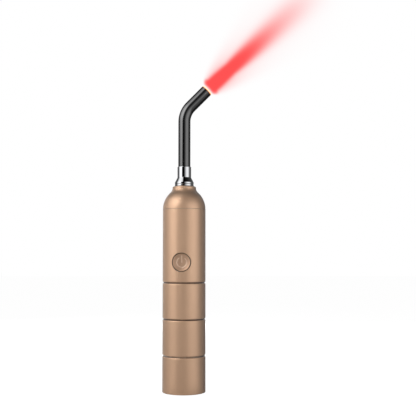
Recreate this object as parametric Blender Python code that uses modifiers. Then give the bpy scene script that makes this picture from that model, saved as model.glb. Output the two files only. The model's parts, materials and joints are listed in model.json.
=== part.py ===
"""A red light therapy wand: a turned metal handle with a bent light guide.

It stands on its tail. The origin is the centre of the base and +Z is up. The guide
bends toward +X, and the power button faces -Y, turned a little toward -X. Lengths
are in metres. The sizes are stacked outward from the battery and upward from the
base, so a changed size moves everything that sits on it.
"""
import math

import bmesh
import bpy
import numpy as np

MM = 0.001

# Fits
FIT = 0.3 * MM              # between neighbours that touch on the real wand
THREAD_FIT = 0.2 * MM       # around each flank of the tail thread
SEAL_FIT = 0.15 * MM        # between a rubber ring and its groove or bore
OVERRUN = 1.0 * MM          # how far a cutter runs past what it cuts
MERGE = 0.001 * MM          # doubled vertices are merged within this

# Facets around each kind of piece
BODY_SIDES = 36
INNER_SIDES = 28
SMALL_SIDES = 24
SEAL_SECTION_SIDES = 6
THREAD_STEPS = 24

# Battery: one cell of 18 mm by 65 mm, in an insulating sleeve
CELL_RADIUS = 9.2 * MM
CELL_LENGTH = 64.0 * MM
CELL_EDGE = 0.8 * MM
TERMINAL_RADIUS = 3.0 * MM
TERMINAL_HEIGHT = 0.9 * MM
WASHER_WIDTH = 4.5 * MM
WASHER_THICKNESS = 0.4 * MM
SLEEVE_WALL = 0.8 * MM

# Tail thread and seal
SPIGOT_WALL = 1.3 * MM
SPIGOT_LENGTH = 10.85 * MM
SPIGOT_LEAD = 0.4 * MM
COLLAR_HEIGHT = 3.3 * MM
THREAD_DEPTH = 0.55 * MM
THREAD_PITCH = 2.0 * MM
THREAD_TURNS = 3
THREAD_ROOT_SHARE = 0.56    # the ridge's width at its root, of a pitch
THREAD_CREST_SHARE = 0.24   # and at its crest
THREAD_END_LAND = 0.75 * MM
THREAD_CUT_LEAD_TURNS = 0.125
ENTRY_STEP = 0.1 * MM
SEAL_GROOVE_WIDTH = 1.5 * MM
SEAL_GROOVE_DEPTH = 0.95 * MM

# Tail cap and what it holds
TAIL_WALL = 1.25 * MM
TAIL_FLOOR = 2.4 * MM
TAIL_EDGE = 0.4 * MM
PLATE_POCKET_WALL = 3.1 * MM
PLATE_THICKNESS = 0.8 * MM
RETAINER_WIDTH = 1.0 * MM
RETAINER_HEIGHT = 2.2 * MM
SPRING_LENGTH = 3.6 * MM
SPRING_WIRE_RADIUS = 0.4 * MM
SPRING_BASE_RADIUS = 6.4 * MM
SPRING_TOP_RADIUS = 3.4 * MM
SPRING_TURNS = 3
SPRING_POINTS_PER_TURN = 12
SPRING_RESOLUTION = 1

# Handle
GROOVE_PITCH = 23.5 * MM
GROOVES_ON_BARREL = 2
GROOVE_DEPTH = 0.6 * MM
GROOVE_WIDTH = 1.2 * MM
GROOVE_FLOOR = 0.5 * MM
BAY_WALL = 1.8 * MM

# Contact board over the battery
CONTACT_RADIUS = 4.0 * MM
CONTACT_THICKNESS = 1.0 * MM
CONTACT_EDGE = 0.3 * MM
CONTACT_BOARD_THICKNESS = 1.2 * MM

# Power button and its switch
BUTTON_TURN = math.radians(-7.7)
BUTTON_RISE = 7.7 * MM
BUTTON_RADIUS = 5.75 * MM
BUTTON_GAP = 0.4 * MM
BUTTON_TRAVEL = 0.6 * MM
BUTTON_RIM = 0.3 * MM
BUTTON_DISH_RADIUS = 37.0 * MM
BUTTON_DISH_STEPS = 4
FLANGE_LIP = 0.55 * MM
FLANGE_THICKNESS = 0.8 * MM
MARK_RADIUS = 3.15 * MM
MARK_STROKE_RADIUS = 0.35 * MM
MARK_DEPTH = 0.2 * MM
MARK_BAR_TOP = 4.2 * MM
MARK_OPENING = math.radians(38.0)
MARK_RING_POINTS = 20
MARK_BAR_POINTS = 4
MARK_RESOLUTION = 2
PAD_INSET = 0.3 * MM
PAD_THICKNESS = 0.6 * MM
NUB_RADIUS = 1.5 * MM
NUB_LENGTH = 0.5 * MM
PLUNGER_RADIUS = 1.6 * MM
PLUNGER_SHOW = 1.3 * MM
PLUNGER_SEAT = 0.45 * MM
SWITCH_WIDTH = 6.2 * MM
SWITCH_HEIGHT = 3.4 * MM

# Control board and the chassis that carries it
BOARD_THICKNESS = 1.2 * MM
BOARD_END = 0.7 * MM
BOARD_INSET = 1.0 * MM
CHASSIS_HEIGHT = 22.7 * MM
CHASSIS_WALL = 4.0 * MM
CHASSIS_BACK = 5.4 * MM
SCREW_RADIUS = 0.8 * MM
SCREW_LENGTH = 3.5 * MM
SCREW_HEAD_RADIUS = 1.3 * MM
SCREW_HEAD_HEIGHT = 0.7 * MM
SCREW_SLOT_WIDTH = 0.4 * MM
SCREW_SLOT_DEPTH = 0.3 * MM
SCREW_END_INSET = 2.2 * MM
SCREW_SIDE_INSET = 1.5 * MM
INDUCTOR_WIDTH = 5.0 * MM
INDUCTOR_THICKNESS = 3.0 * MM
INDUCTOR_CORNER = 1.2 * MM
CHIP_WIDTH = 4.0 * MM
CHIP_HEIGHT = 5.0 * MM
CHIP_THICKNESS = 1.2 * MM
BOARD_PARTS_INSET = 2.5 * MM
BOARD_PARTS_SPREAD = 3.9 * MM
LEAD_RADIUS = 0.45 * MM
LEAD_SPREAD = 6.4 * MM
LEAD_LAP = 1.8 * MM
LEAD_END = 0.8 * MM
LEAD_RESOLUTION = 2
BATTERY_LEAD_SIDE = 3.0 * MM
BATTERY_LEAD_DEPTH = 3.0 * MM
BATTERY_LEAD_RUN = 12.0 * MM
BATTERY_LEAD_POINTS = 9

# Light source
HEATSINK_HEIGHT = 8.0 * MM
HEATSINK_POCKET_DEPTH = 3.4 * MM
HEATSINK_POCKET_WALL = 3.0 * MM
HEATSINK_RIM_HEIGHT = 2.6 * MM
LED_BOARD_THICKNESS = 1.6 * MM
LED_WIDTH = 3.5 * MM
LED_THICKNESS = 0.9 * MM
LED_DOME_RADIUS = 1.4 * MM
LED_DOME_STEPS = 5
LENS_LIFT = 0.6 * MM
LENS_RECESS_RADIUS = 2.4 * MM
LENS_RECESS_DEPTH = 2.0 * MM
LENS_FOOT_RADIUS = 3.5 * MM
LENS_CONE_HEIGHT = 6.6 * MM
LENS_CONE_STEPS = 5
LENS_FLANGE_HEIGHT = 1.2 * MM
LENS_CROWN = 1.7 * MM
LENS_CROWN_STEPS = 5
HOLDER_WALL = 0.7 * MM

# Head
HEAD_WALL = 1.7 * MM
HEAD_SEAL_DROP = 3.85 * MM
HEAD_SEAL_DEPTH = 0.9 * MM
DOME_RADIUS = 15.0 * MM
DOME_STEPS = 9
NECK_FILLET = 4.0 * MM
NECK_STEPS = 6
LIP_RADIUS = 7.7 * MM
LIP_LAND = 0.15 * MM
LIP_ROUND = 0.8 * MM
LIP_STEPS = 5
THROAT_RISE = 2.4 * MM
APERTURE_LEDGE = 1.6 * MM
APERTURE_LENGTH = 1.6 * MM

# Socket and light guide
WINDOW_THICKNESS = 1.0 * MM
CORE_RADIUS = 2.4 * MM
NECK_WALL = 0.45 * MM
JACKET_STEP = 0.85 * MM
SLEEVE_GROOVE_WALL = 0.5 * MM
SLEEVE_TUBE_WALL = 1.05 * MM
GUIDE_SEAL_DEPTH = 0.75 * MM
GUIDE_SEAL_WIDTH = 1.4 * MM
GUIDE_SEAL_RISE = 3.0 * MM
SOCKET_WALL = 0.6 * MM
SOCKET_RING_LIP = 0.6 * MM
SOCKET_RING_HEIGHT = 1.0 * MM
PLUG_LENGTH = 8.93 * MM
FLARE_LAND = 1.05 * MM
FLARE_HEIGHT = 3.3 * MM
SLEEVE_TUBE_LENGTH = 7.1 * MM
SLEEVE_EDGE = 0.3 * MM
GUIDE_STRAIGHT = 30.2 * MM
BEND_RADIUS = 14.4 * MM
BEND_ANGLE = math.radians(44.5)
BEND_STEPS = 13
GUIDE_END = 16.0 * MM
GUIDE_RESOLUTION = 10
TIP_THICKNESS = 0.6 * MM
TIP_INSET = 0.3 * MM
TIP_EDGE = 0.12 * MM

# Radii of the handle, from the battery outward
SLEEVE_INNER = CELL_RADIUS + FIT
SLEEVE_OUTER = SLEEVE_INNER + SLEEVE_WALL
BATTERY_BORE = SLEEVE_OUTER + FIT
THREAD_ROOT = BATTERY_BORE + SPIGOT_WALL
THREAD_CREST = THREAD_ROOT + THREAD_DEPTH
CAP_THREAD_CREST = THREAD_ROOT + THREAD_FIT
CAP_THREAD_ROOT = THREAD_CREST + THREAD_FIT
ENTRY_BORE = CAP_THREAD_ROOT + ENTRY_STEP
BODY_RADIUS = ENTRY_BORE + TAIL_WALL
GROOVE_RADIUS = BODY_RADIUS - GROOVE_DEPTH
SEAL_FLOOR = THREAD_CREST - SEAL_GROOVE_DEPTH
PLATE_POCKET = BODY_RADIUS - PLATE_POCKET_WALL
PLATE_RADIUS = PLATE_POCKET - FIT
BAY_BORE = BODY_RADIUS - BAY_WALL
INNER_RADIUS = BAY_BORE - FIT
HEAD_SEAL_FLOOR = INNER_RADIUS - HEAD_SEAL_DEPTH
HEAD_BORE = INNER_RADIUS - HEAD_WALL
LENS_RADIUS = HEAD_BORE - FIT
HOLDER_INNER = LENS_RADIUS - HOLDER_WALL
LED_BOARD_RADIUS = HOLDER_INNER - FIT

# Heights of the handle, from the base upward
PLATE_BASE = TAIL_FLOOR + FIT
PLATE_TOP = PLATE_BASE + PLATE_THICKNESS
SPRING_BASE = PLATE_TOP + FIT
SPRING_TOP = SPRING_BASE + SPRING_LENGTH
CELL_BASE = SPRING_TOP + FIT
CELL_TOP = CELL_BASE + CELL_LENGTH
TERMINAL_BASE = CELL_TOP + FIT
CONTACT_BASE = TERMINAL_BASE + TERMINAL_HEIGHT + FIT
SHOULDER = CONTACT_BASE + CONTACT_THICKNESS
CONTACT_BOARD_BASE = SHOULDER + FIT
BAY_FLOOR = CONTACT_BOARD_BASE + CONTACT_BOARD_THICKNESS + FIT
BUTTON_HEIGHT = BAY_FLOOR + BUTTON_RISE
CHASSIS_TOP = BAY_FLOOR + CHASSIS_HEIGHT
HEATSINK_BASE = CHASSIS_TOP + FIT
HEATSINK_TOP = HEATSINK_BASE + HEATSINK_HEIGHT
HEATSINK_RIM_TOP = HEATSINK_TOP + HEATSINK_RIM_HEIGHT
HEAD_SPIGOT_BASE = HEATSINK_RIM_TOP + FIT

# The tail joint, hidden in the lowest groove
CAP_TOP = GROOVE_PITCH - FIT / 2
BARREL_BASE = GROOVE_PITCH + FIT / 2
SPIGOT_BASE = BARREL_BASE - SPIGOT_LENGTH
COLLAR_BASE = BARREL_BASE - COLLAR_HEIGHT
ENTRY_BASE = COLLAR_BASE - FIT
SEAL_HEIGHT = (COLLAR_BASE + BARREL_BASE) / 2
THREAD_START = SPIGOT_BASE + THREAD_END_LAND
THREAD_ROOT_WIDTH = THREAD_PITCH * THREAD_ROOT_SHARE
THREAD_CREST_WIDTH = THREAD_PITCH * THREAD_CREST_SHARE
THREAD_SINK = SPIGOT_WALL / 3
THREAD_CUT_TURNS = (ENTRY_BASE + THREAD_PITCH - THREAD_START) / THREAD_PITCH

# The button's stack, inward along its axis. Its rim is level with the handle at the
# sides, and its flange stops against the bore there.
HOLE_RADIUS = BUTTON_RADIUS + BUTTON_GAP
FLANGE_RADIUS = HOLE_RADIUS + FLANGE_LIP
PAD_RADIUS = FLANGE_RADIUS - PAD_INSET
RIM_LEVEL = math.sqrt(BODY_RADIUS ** 2 - BUTTON_RADIUS ** 2)
FLANGE_LEVEL = math.sqrt(BAY_BORE ** 2 - FLANGE_RADIUS ** 2) - FIT
FLANGE_BASE = FLANGE_LEVEL - FLANGE_THICKNESS
PAD_LEVEL = FLANGE_BASE - FIT
PAD_BASE = PAD_LEVEL - PAD_THICKNESS
NUB_BASE = PAD_BASE - NUB_LENGTH
PLUNGER_LEVEL = NUB_BASE - FIT
SWITCH_LEVEL = PLUNGER_LEVEL - PLUNGER_SHOW
PLUNGER_BASE = SWITCH_LEVEL - PLUNGER_SEAT
PLUNGER_WELL = PLUNGER_BASE - BUTTON_TRAVEL - FIT
SWITCH_BASE = SWITCH_LEVEL - SWITCH_HEIGHT
BOARD_LEVEL = SWITCH_BASE - FIT
BOARD_BACK = BOARD_LEVEL - BOARD_THICKNESS
CHASSIS_LEVEL = BOARD_BACK - FIT
DISH_RADIUS = BUTTON_RADIUS - BUTTON_RIM
DISH_CENTRE = RIM_LEVEL + math.sqrt(BUTTON_DISH_RADIUS ** 2 - DISH_RADIUS ** 2)

# Places on the control board, with heights measured from the button's axis
BOARD_HALF_WIDTH = INNER_RADIUS - BOARD_INSET
BOARD_TOP = CHASSIS_HEIGHT - BUTTON_RISE - BOARD_END
BOARD_FOOT = BOARD_END - BUTTON_RISE
SCREW_SIDE = BOARD_HALF_WIDTH - SCREW_SIDE_INSET
SCREW_PLACES = [
    (-SCREW_SIDE, BOARD_TOP - SCREW_END_INSET), (SCREW_SIDE, BOARD_FOOT + SCREW_END_INSET)]
SCREW_HOLE_RADIUS = SCREW_RADIUS + FIT
PARTS_LEVEL = BOARD_LEVEL + FIT
PARTS_TOP = BOARD_TOP - BOARD_PARTS_INSET
LEAD_LEVEL = PARTS_LEVEL + LEAD_RADIUS

# The lens stack and the socket, upward from the heat sink
LED_BOARD_BASE = HEATSINK_TOP + FIT
LED_BOARD_TOP = LED_BOARD_BASE + LED_BOARD_THICKNESS
LED_BASE = LED_BOARD_TOP + FIT
LED_TOP = LED_BASE + LED_THICKNESS
LENS_BASE = LED_TOP + LED_DOME_RADIUS + LENS_LIFT
LENS_SHOULDER = LENS_BASE + LENS_CONE_HEIGHT
LENS_TOP = LENS_SHOULDER + LENS_FLANGE_HEIGHT
CAVITY_TOP = LENS_TOP + FIT
THROAT = CAVITY_TOP + THROAT_RISE
WINDOW_SEAT = THROAT + APERTURE_LENGTH
WINDOW_BASE = WINDOW_SEAT + FIT
WINDOW_TOP = WINDOW_BASE + WINDOW_THICKNESS
SOCKET_BASE = WINDOW_TOP + FIT
PLUG_BASE = SOCKET_BASE + FIT
GUIDE_SEAL_HEIGHT = PLUG_BASE + GUIDE_SEAL_RISE
SLEEVE_BASE = PLUG_BASE + PLUG_LENGTH
SOCKET_RING_TOP = SLEEVE_BASE - FIT
SOCKET_RING_BASE = SOCKET_RING_TOP - SOCKET_RING_HEIGHT

# Radii of the socket and the guide, from the core outward
JACKET_BORE = CORE_RADIUS + FIT
JACKET_NECK = JACKET_BORE + NECK_WALL
JACKET_RADIUS = JACKET_NECK + JACKET_STEP
SLEEVE_BORE = JACKET_NECK + FIT
SLEEVE_TUBE_RADIUS = SLEEVE_BORE + SLEEVE_TUBE_WALL
GUIDE_SEAL_FLOOR = SLEEVE_BORE + SLEEVE_GROOVE_WALL
PLUG_RADIUS = GUIDE_SEAL_FLOOR + GUIDE_SEAL_DEPTH
SOCKET_BORE = PLUG_RADIUS + FIT
SOCKET_OUTER = SOCKET_BORE + SOCKET_WALL
SOCKET_RING_RADIUS = SOCKET_OUTER + SOCKET_RING_LIP
NOSE_BORE = SOCKET_OUTER + FIT
WINDOW_RADIUS = NOSE_BORE - FIT
APERTURE_RADIUS = NOSE_BORE - APERTURE_LEDGE
TIP_RADIUS = JACKET_RADIUS - TIP_INSET

# The head's outside, downward from the socket ring. The dome runs into the neck's
# fillet where both slope alike.
DOME_CENTRE = BODY_RADIUS - DOME_RADIUS
NECK_REACH = DOME_RADIUS + NECK_FILLET
NECK_ANGLE = math.acos((LIP_RADIUS + NECK_FILLET - DOME_CENTRE) / NECK_REACH)
HEAD_TOP = SOCKET_RING_BASE - FIT
NECK_TOP = HEAD_TOP - LIP_LAND - LIP_ROUND
HEAD_BASE = NECK_TOP - NECK_REACH * math.sin(NECK_ANGLE)
BARREL_TOP = HEAD_BASE - FIT
HEAD_SEAL_HEIGHT = HEAD_BASE - HEAD_SEAL_DROP

# The guide above the socket ring
FLARE_BASE = SLEEVE_BASE + FLARE_LAND
FLARE_TOP = FLARE_BASE + FLARE_HEIGHT
SLEEVE_TOP = FLARE_TOP + SLEEVE_TUBE_LENGTH
JACKET_SHOULDER = SLEEVE_TOP + FIT
BEND_START = SLEEVE_TOP + GUIDE_STRAIGHT
JACKET_END = GUIDE_END - TIP_THICKNESS - FIT


def new_collection(name):
    collection = bpy.data.collections.new(name)
    bpy.context.scene.collection.children.link(collection)
    return collection


for leftover in list(bpy.data.objects):
    bpy.data.objects.remove(leftover, do_unlink=True)
PARTS = new_collection("light_wand")
CUTTERS = new_collection("cutters")


def finish(name, colour, roughness, metallic=0.0, glow=0.0):
    """A Principled material of one colour."""
    material = bpy.data.materials.new(name)
    material.use_nodes = True
    shader = material.node_tree.nodes["Principled BSDF"]
    shader.inputs["Base Color"].default_value = (*colour, 1.0)
    shader.inputs["Roughness"].default_value = roughness
    shader.inputs["Metallic"].default_value = metallic
    shader.inputs["Emission Color"].default_value = (*colour, 1.0)
    shader.inputs["Emission Strength"].default_value = glow
    return material


def move_to(collection, obj):
    for old in list(obj.users_collection):
        old.objects.unlink(obj)
    collection.objects.link(obj)


def keep(obj, material, parent=None):
    """Put a finished piece with the parts, in its material."""
    move_to(PARTS, obj)
    obj.data.materials.clear()
    obj.data.materials.append(material)
    obj.parent = parent
    return obj


def combine(obj, other, operation, parent=None):
    """Cut or join a piece with a guide shape, which goes with the cutters."""
    move_to(CUTTERS, other)
    other.parent = parent
    other.hide_render = True
    other.display_type = "WIRE"
    boolean = obj.modifiers.new(other.name, "BOOLEAN")
    boolean.operation = operation
    boolean.solver = "EXACT"
    boolean.object = other


def new_object(name, data):
    obj = bpy.data.objects.new(name, data)
    bpy.context.scene.collection.objects.link(obj)
    return obj


def from_bmesh(name, bm):
    mesh = bpy.data.meshes.new(name)
    bm.to_mesh(mesh)
    bm.free()
    return new_object(name, mesh)


def arc(centre, radius, start, end, count):
    """Points on an arc of the profile plane. Angles run from the radius toward +Z."""
    return [
        (centre[0] + radius * math.cos(angle), centre[1] + radius * math.sin(angle))
        for angle in np.linspace(start, end, count)]


def turned(name, profile, sides):
    """Turn a profile of (radius, height) points about Z.

    A profile that starts on the axis makes a solid. Any other is closed into a loop,
    which makes a ring.
    """
    points = [(radius, 0.0, height) for radius, height in profile]
    edges = [(i, i + 1) for i in range(len(points) - 1)]
    if profile[0][0] > 0:
        edges.append((len(points) - 1, 0))
    mesh = bpy.data.meshes.new(name)
    mesh.from_pydata(points, edges, [])
    obj = new_object(name, mesh)
    screw = obj.modifiers.new("turn", "SCREW")
    screw.steps = sides
    screw.render_steps = sides
    screw.use_merge_vertices = True
    screw.merge_threshold = MERGE
    screw.use_smooth_shade = True
    return obj


def disc(name, radius, base, top, sides, edge=0.0):
    """A disc, or a rod about Z, whose top and bottom edges may be chamfered."""
    if edge == 0:
        return turned(name, [(0.0, top), (radius, top), (radius, base), (0.0, base)], sides)
    return turned(name, [
        (0.0, top), (radius - edge, top), (radius, top - edge),
        (radius, base + edge), (radius - edge, base), (0.0, base)], sides)


def ring(name, outer, inner, base, top, sides):
    return turned(name, [(outer, top), (outer, base), (inner, base), (inner, top)], sides)


def seal(name, floor, bore, height):
    """A rubber ring between a groove's floor and the bore around it."""
    inner = floor + SEAL_FIT
    section_radius = (bore - SEAL_FIT - inner) / 2
    bpy.ops.mesh.primitive_torus_add(
        major_segments=INNER_SIDES, minor_segments=SEAL_SECTION_SIDES,
        major_radius=inner + section_radius, minor_radius=section_radius,
        location=(0.0, 0.0, height))
    obj = bpy.context.object
    obj.name = name
    obj.data.shade_smooth()
    return obj


def block(name, low, high):
    """A box between two corners."""
    bm = bmesh.new()
    bmesh.ops.create_cube(bm, size=1.0)
    size = [top - base for base, top in zip(low, high)]
    middle = [(top + base) / 2 for base, top in zip(low, high)]
    bmesh.ops.scale(bm, verts=bm.verts, vec=size)
    bmesh.ops.translate(bm, verts=bm.verts, vec=middle)
    return from_bmesh(name, bm)


def tube(name, points, radius, resolution):
    """A round bar along a row of points, made a mesh with its end caps welded on."""
    curve = bpy.data.curves.new(name, "CURVE")
    curve.dimensions = "3D"
    curve.bevel_depth = radius
    curve.bevel_resolution = resolution
    curve.use_fill_caps = True
    spline = curve.splines.new("POLY")
    spline.points.add(len(points) - 1)
    for point, place in zip(spline.points, points):
        point.co = (*place, 1.0)
    bar = new_object(name, curve)
    depsgraph = bpy.context.evaluated_depsgraph_get()
    mesh = bpy.data.meshes.new_from_object(bar.evaluated_get(depsgraph))
    bm = bmesh.new()
    bm.from_mesh(mesh)
    bmesh.ops.remove_doubles(bm, verts=bm.verts, dist=MERGE)
    bmesh.ops.recalc_face_normals(bm, faces=bm.faces)
    for face in bm.faces:
        face.smooth = len(face.verts) == 4
    bm.to_mesh(mesh)
    bm.free()
    place = bar.matrix_world.copy()
    bpy.data.objects.remove(bar, do_unlink=True)
    obj = new_object(name, mesh)
    obj.matrix_world = place
    return obj


def thread_ridge(name, inner, outer, slack, start_turn, turns):
    """A right-handed ridge of the thread's section, widened by slack, wound about Z.

    Turn 0 lies on the +X side at the thread's start, and each turn climbs one pitch.
    """
    steps = round(turns * THREAD_STEPS)
    start = start_turn * math.tau
    height = THREAD_START + start_turn * THREAD_PITCH
    root_half = THREAD_ROOT_WIDTH / 2 + slack
    crest_half = THREAD_CREST_WIDTH / 2 + slack
    section = [
        (inner, height + root_half), (outer, height + crest_half),
        (outer, height - crest_half), (inner, height - root_half)]
    bm = bmesh.new()
    corners = [bm.verts.new((r * math.cos(start), r * math.sin(start), z)) for r, z in section]
    face = bm.faces.new(corners)
    bmesh.ops.spin(
        bm, geom=[face, *face.edges, *face.verts], cent=(0.0, 0.0, 0.0), axis=(0.0, 0.0, 1.0),
        dvec=(0.0, 0.0, THREAD_PITCH / THREAD_STEPS), angle=steps * math.tau / THREAD_STEPS,
        steps=steps)
    bmesh.ops.recalc_face_normals(bm, faces=bm.faces)
    return from_bmesh(name, bm)


def groove(height):
    """A V groove with a flat floor around the handle, as profile points going down."""
    return [
        (BODY_RADIUS, height + GROOVE_WIDTH / 2), (GROOVE_RADIUS, height + GROOVE_FLOOR / 2),
        (GROOVE_RADIUS, height - GROOVE_FLOOR / 2), (BODY_RADIUS, height - GROOVE_WIDTH / 2)]


def seal_groove(radius, floor, height, width):
    """A square groove for a rubber ring in a spigot, as profile points going down."""
    top = height + width / 2
    base = height - width / 2
    return [(radius, top), (floor, top), (floor, base), (radius, base)]


anodised = finish("champagne_anodised", (0.56, 0.36, 0.235), 0.38, 1.0)
etched = finish("button_anodised", (0.55, 0.37, 0.26), 0.42, 1.0)
chrome = finish("chrome", (0.85, 0.86, 0.88), 0.06, 1.0)
black_gloss = finish("black_gloss", (0.012, 0.012, 0.013), 0.16)
glowing = finish("glowing_tip", (1.0, 0.42, 0.16), 0.3, glow=3.0)
fibre = finish("fibre_rod", (0.86, 0.78, 0.76), 0.2)
glass = finish("clear_glass", (0.9, 0.93, 0.95), 0.05)
clear_lens = finish("clear_lens", (0.92, 0.92, 0.93), 0.08)
rubber = finish("black_rubber", (0.02, 0.02, 0.02), 0.7)
silicone = finish("grey_silicone", (0.25, 0.25, 0.26), 0.6)
board_green = finish("board_green", (0.02, 0.16, 0.07), 0.45)
board_white = finish("board_white", (0.8, 0.8, 0.78), 0.5)
black_plastic = finish("black_plastic", (0.03, 0.03, 0.035), 0.55)
white_plastic = finish("white_plastic", (0.8, 0.8, 0.8), 0.5)
ferrite = finish("ferrite", (0.09, 0.09, 0.1), 0.6)
brass = finish("brass", (0.75, 0.55, 0.25), 0.3, 1.0)
nickel = finish("nickel", (0.7, 0.69, 0.66), 0.3, 1.0)
spring_steel = finish("spring_steel", (0.55, 0.55, 0.56), 0.25, 1.0)
bare_metal = finish("bare_aluminium", (0.75, 0.76, 0.77), 0.4, 1.0)
ceramic = finish("emitter_ceramic", (0.85, 0.8, 0.6), 0.5)
cell_wrap = finish("cell_wrap", (0.08, 0.2, 0.45), 0.35)
sleeve_card = finish("sleeve_card", (0.72, 0.68, 0.6), 0.8)
red_wire = finish("red_wire", (0.6, 0.03, 0.03), 0.5)
black_wire = finish("black_wire", (0.02, 0.02, 0.02), 0.5)

# The button's axis: its +Z runs out through the button, its +Y is up and its +X is
# along the handle's surface to the right, from the handle's axis at button height
button_axis = bpy.data.objects.new("button_axis", None)
button_axis.location = (0.0, 0.0, BUTTON_HEIGHT)
button_axis.rotation_euler = (math.pi / 2, 0.0, BUTTON_TURN)
PARTS.objects.link(button_axis)


# The handle's shell

def barrel():
    """The long turned tube, with two grooves, the tail spigot and the button's hole."""
    profile = [(BODY_RADIUS, BARREL_TOP)]
    for i in range(GROOVES_ON_BARREL, 0, -1):
        profile += groove((i + 1) * GROOVE_PITCH)
    profile += groove(GROOVE_PITCH)[:2]
    profile += [(GROOVE_RADIUS, BARREL_BASE), (THREAD_CREST, BARREL_BASE)]
    profile += seal_groove(THREAD_CREST, SEAL_FLOOR, SEAL_HEIGHT, SEAL_GROOVE_WIDTH)
    profile += [
        (THREAD_CREST, COLLAR_BASE), (THREAD_ROOT, COLLAR_BASE),
        (THREAD_ROOT, SPIGOT_BASE + SPIGOT_LEAD), (THREAD_ROOT - SPIGOT_LEAD, SPIGOT_BASE),
        (BATTERY_BORE, SPIGOT_BASE), (BATTERY_BORE, SHOULDER), (BAY_BORE, SHOULDER),
        (BAY_BORE, BARREL_TOP)]
    obj = keep(turned("barrel", profile, BODY_SIDES), anodised)
    ridge = thread_ridge(
        "barrel_thread", THREAD_ROOT - THREAD_SINK, THREAD_CREST, 0.0, 0.0, THREAD_TURNS)
    combine(obj, ridge, "UNION")
    hole = disc(
        "button_hole", HOLE_RADIUS, FLANGE_LEVEL - OVERRUN, BODY_RADIUS + OVERRUN, INNER_SIDES)
    combine(obj, hole, "DIFFERENCE", button_axis)


def head_shell():
    """The dome, its neck and lip, over a spigot that fits the barrel."""
    lip_centre = (LIP_RADIUS - LIP_ROUND, HEAD_TOP - LIP_ROUND)
    profile = arc(lip_centre, LIP_ROUND, math.pi / 2, 0.0, LIP_STEPS)
    profile += arc(
        (LIP_RADIUS + NECK_FILLET, NECK_TOP), NECK_FILLET, math.pi, math.pi + NECK_ANGLE, NECK_STEPS)
    profile += arc((DOME_CENTRE, HEAD_BASE), DOME_RADIUS, NECK_ANGLE, 0.0, DOME_STEPS)[1:]
    profile += [(INNER_RADIUS, HEAD_BASE)]
    profile += seal_groove(INNER_RADIUS, HEAD_SEAL_FLOOR, HEAD_SEAL_HEIGHT, SEAL_GROOVE_WIDTH)
    profile += [
        (INNER_RADIUS, HEAD_SPIGOT_BASE), (HEAD_BORE, HEAD_SPIGOT_BASE), (HEAD_BORE, CAVITY_TOP),
        (APERTURE_RADIUS, THROAT), (APERTURE_RADIUS, WINDOW_SEAT), (NOSE_BORE, WINDOW_SEAT),
        (NOSE_BORE, HEAD_TOP)]
    keep(turned("head_shell", profile, BODY_SIDES), anodised)
    keep(seal("head_seal", HEAD_SEAL_FLOOR, BAY_BORE, HEAD_SEAL_HEIGHT), rubber)


def tail_cap():
    """The threaded cup at the base, that closes the battery tube."""
    profile = [
        (0.0, TAIL_FLOOR), (PLATE_POCKET, TAIL_FLOOR), (PLATE_POCKET, SPIGOT_BASE - FIT),
        (CAP_THREAD_CREST, SPIGOT_BASE - FIT), (CAP_THREAD_CREST, ENTRY_BASE),
        (ENTRY_BORE, ENTRY_BASE), (ENTRY_BORE, CAP_TOP), (GROOVE_RADIUS, CAP_TOP)]
    profile += groove(GROOVE_PITCH)[2:]
    profile += [(BODY_RADIUS, TAIL_EDGE), (BODY_RADIUS - TAIL_EDGE, 0.0), (0.0, 0.0)]
    obj = keep(turned("tail_cap", profile, BODY_SIDES), anodised)
    cut = thread_ridge(
        "tail_cap_thread", CAP_THREAD_CREST - THREAD_SINK, CAP_THREAD_ROOT, THREAD_FIT,
        -THREAD_CUT_LEAD_TURNS, THREAD_CUT_TURNS)
    combine(obj, cut, "DIFFERENCE")
    keep(seal("tail_seal", SEAL_FLOOR, ENTRY_BORE, SEAL_HEIGHT), rubber)


# The battery and its contacts

def battery():
    """The cell, its terminal and washer, and the insulating sleeve around it."""
    keep(disc("battery_cell", CELL_RADIUS, CELL_BASE, CELL_TOP, INNER_SIDES, CELL_EDGE), cell_wrap)
    keep(disc("battery_terminal", TERMINAL_RADIUS, TERMINAL_BASE, TERMINAL_BASE + TERMINAL_HEIGHT,
              SMALL_SIDES, CONTACT_EDGE), nickel)
    inner = TERMINAL_RADIUS + FIT
    keep(ring("battery_washer", inner + WASHER_WIDTH, inner, TERMINAL_BASE,
              TERMINAL_BASE + WASHER_THICKNESS, SMALL_SIDES), white_plastic)
    keep(ring("battery_sleeve", SLEEVE_OUTER, SLEEVE_INNER, SPIGOT_BASE + FIT, SHOULDER - FIT,
              INNER_SIDES), sleeve_card)


def spring_path():
    """A conical helix from the plate up to the cell, as an array of points."""
    turn = np.linspace(0.0, SPRING_TURNS, SPRING_TURNS * SPRING_POINTS_PER_TURN + 1)
    share = turn / SPRING_TURNS
    radius = SPRING_BASE_RADIUS + (SPRING_TOP_RADIUS - SPRING_BASE_RADIUS) * share
    rise = SPRING_LENGTH - 2 * SPRING_WIRE_RADIUS
    height = SPRING_BASE + SPRING_WIRE_RADIUS + rise * share
    angle = turn * math.tau
    return np.column_stack([radius * np.cos(angle), radius * np.sin(angle), height])


def least_gap(points, wire_radius, points_per_turn):
    """The least clear distance between a coil and its own next turns."""
    apart = np.linalg.norm(points[:, None] - points[None], axis=2)
    index = np.arange(len(points))
    far = np.abs(index[:, None] - index[None]) > points_per_turn // 2
    return apart[far].min() - 2 * wire_radius


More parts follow.
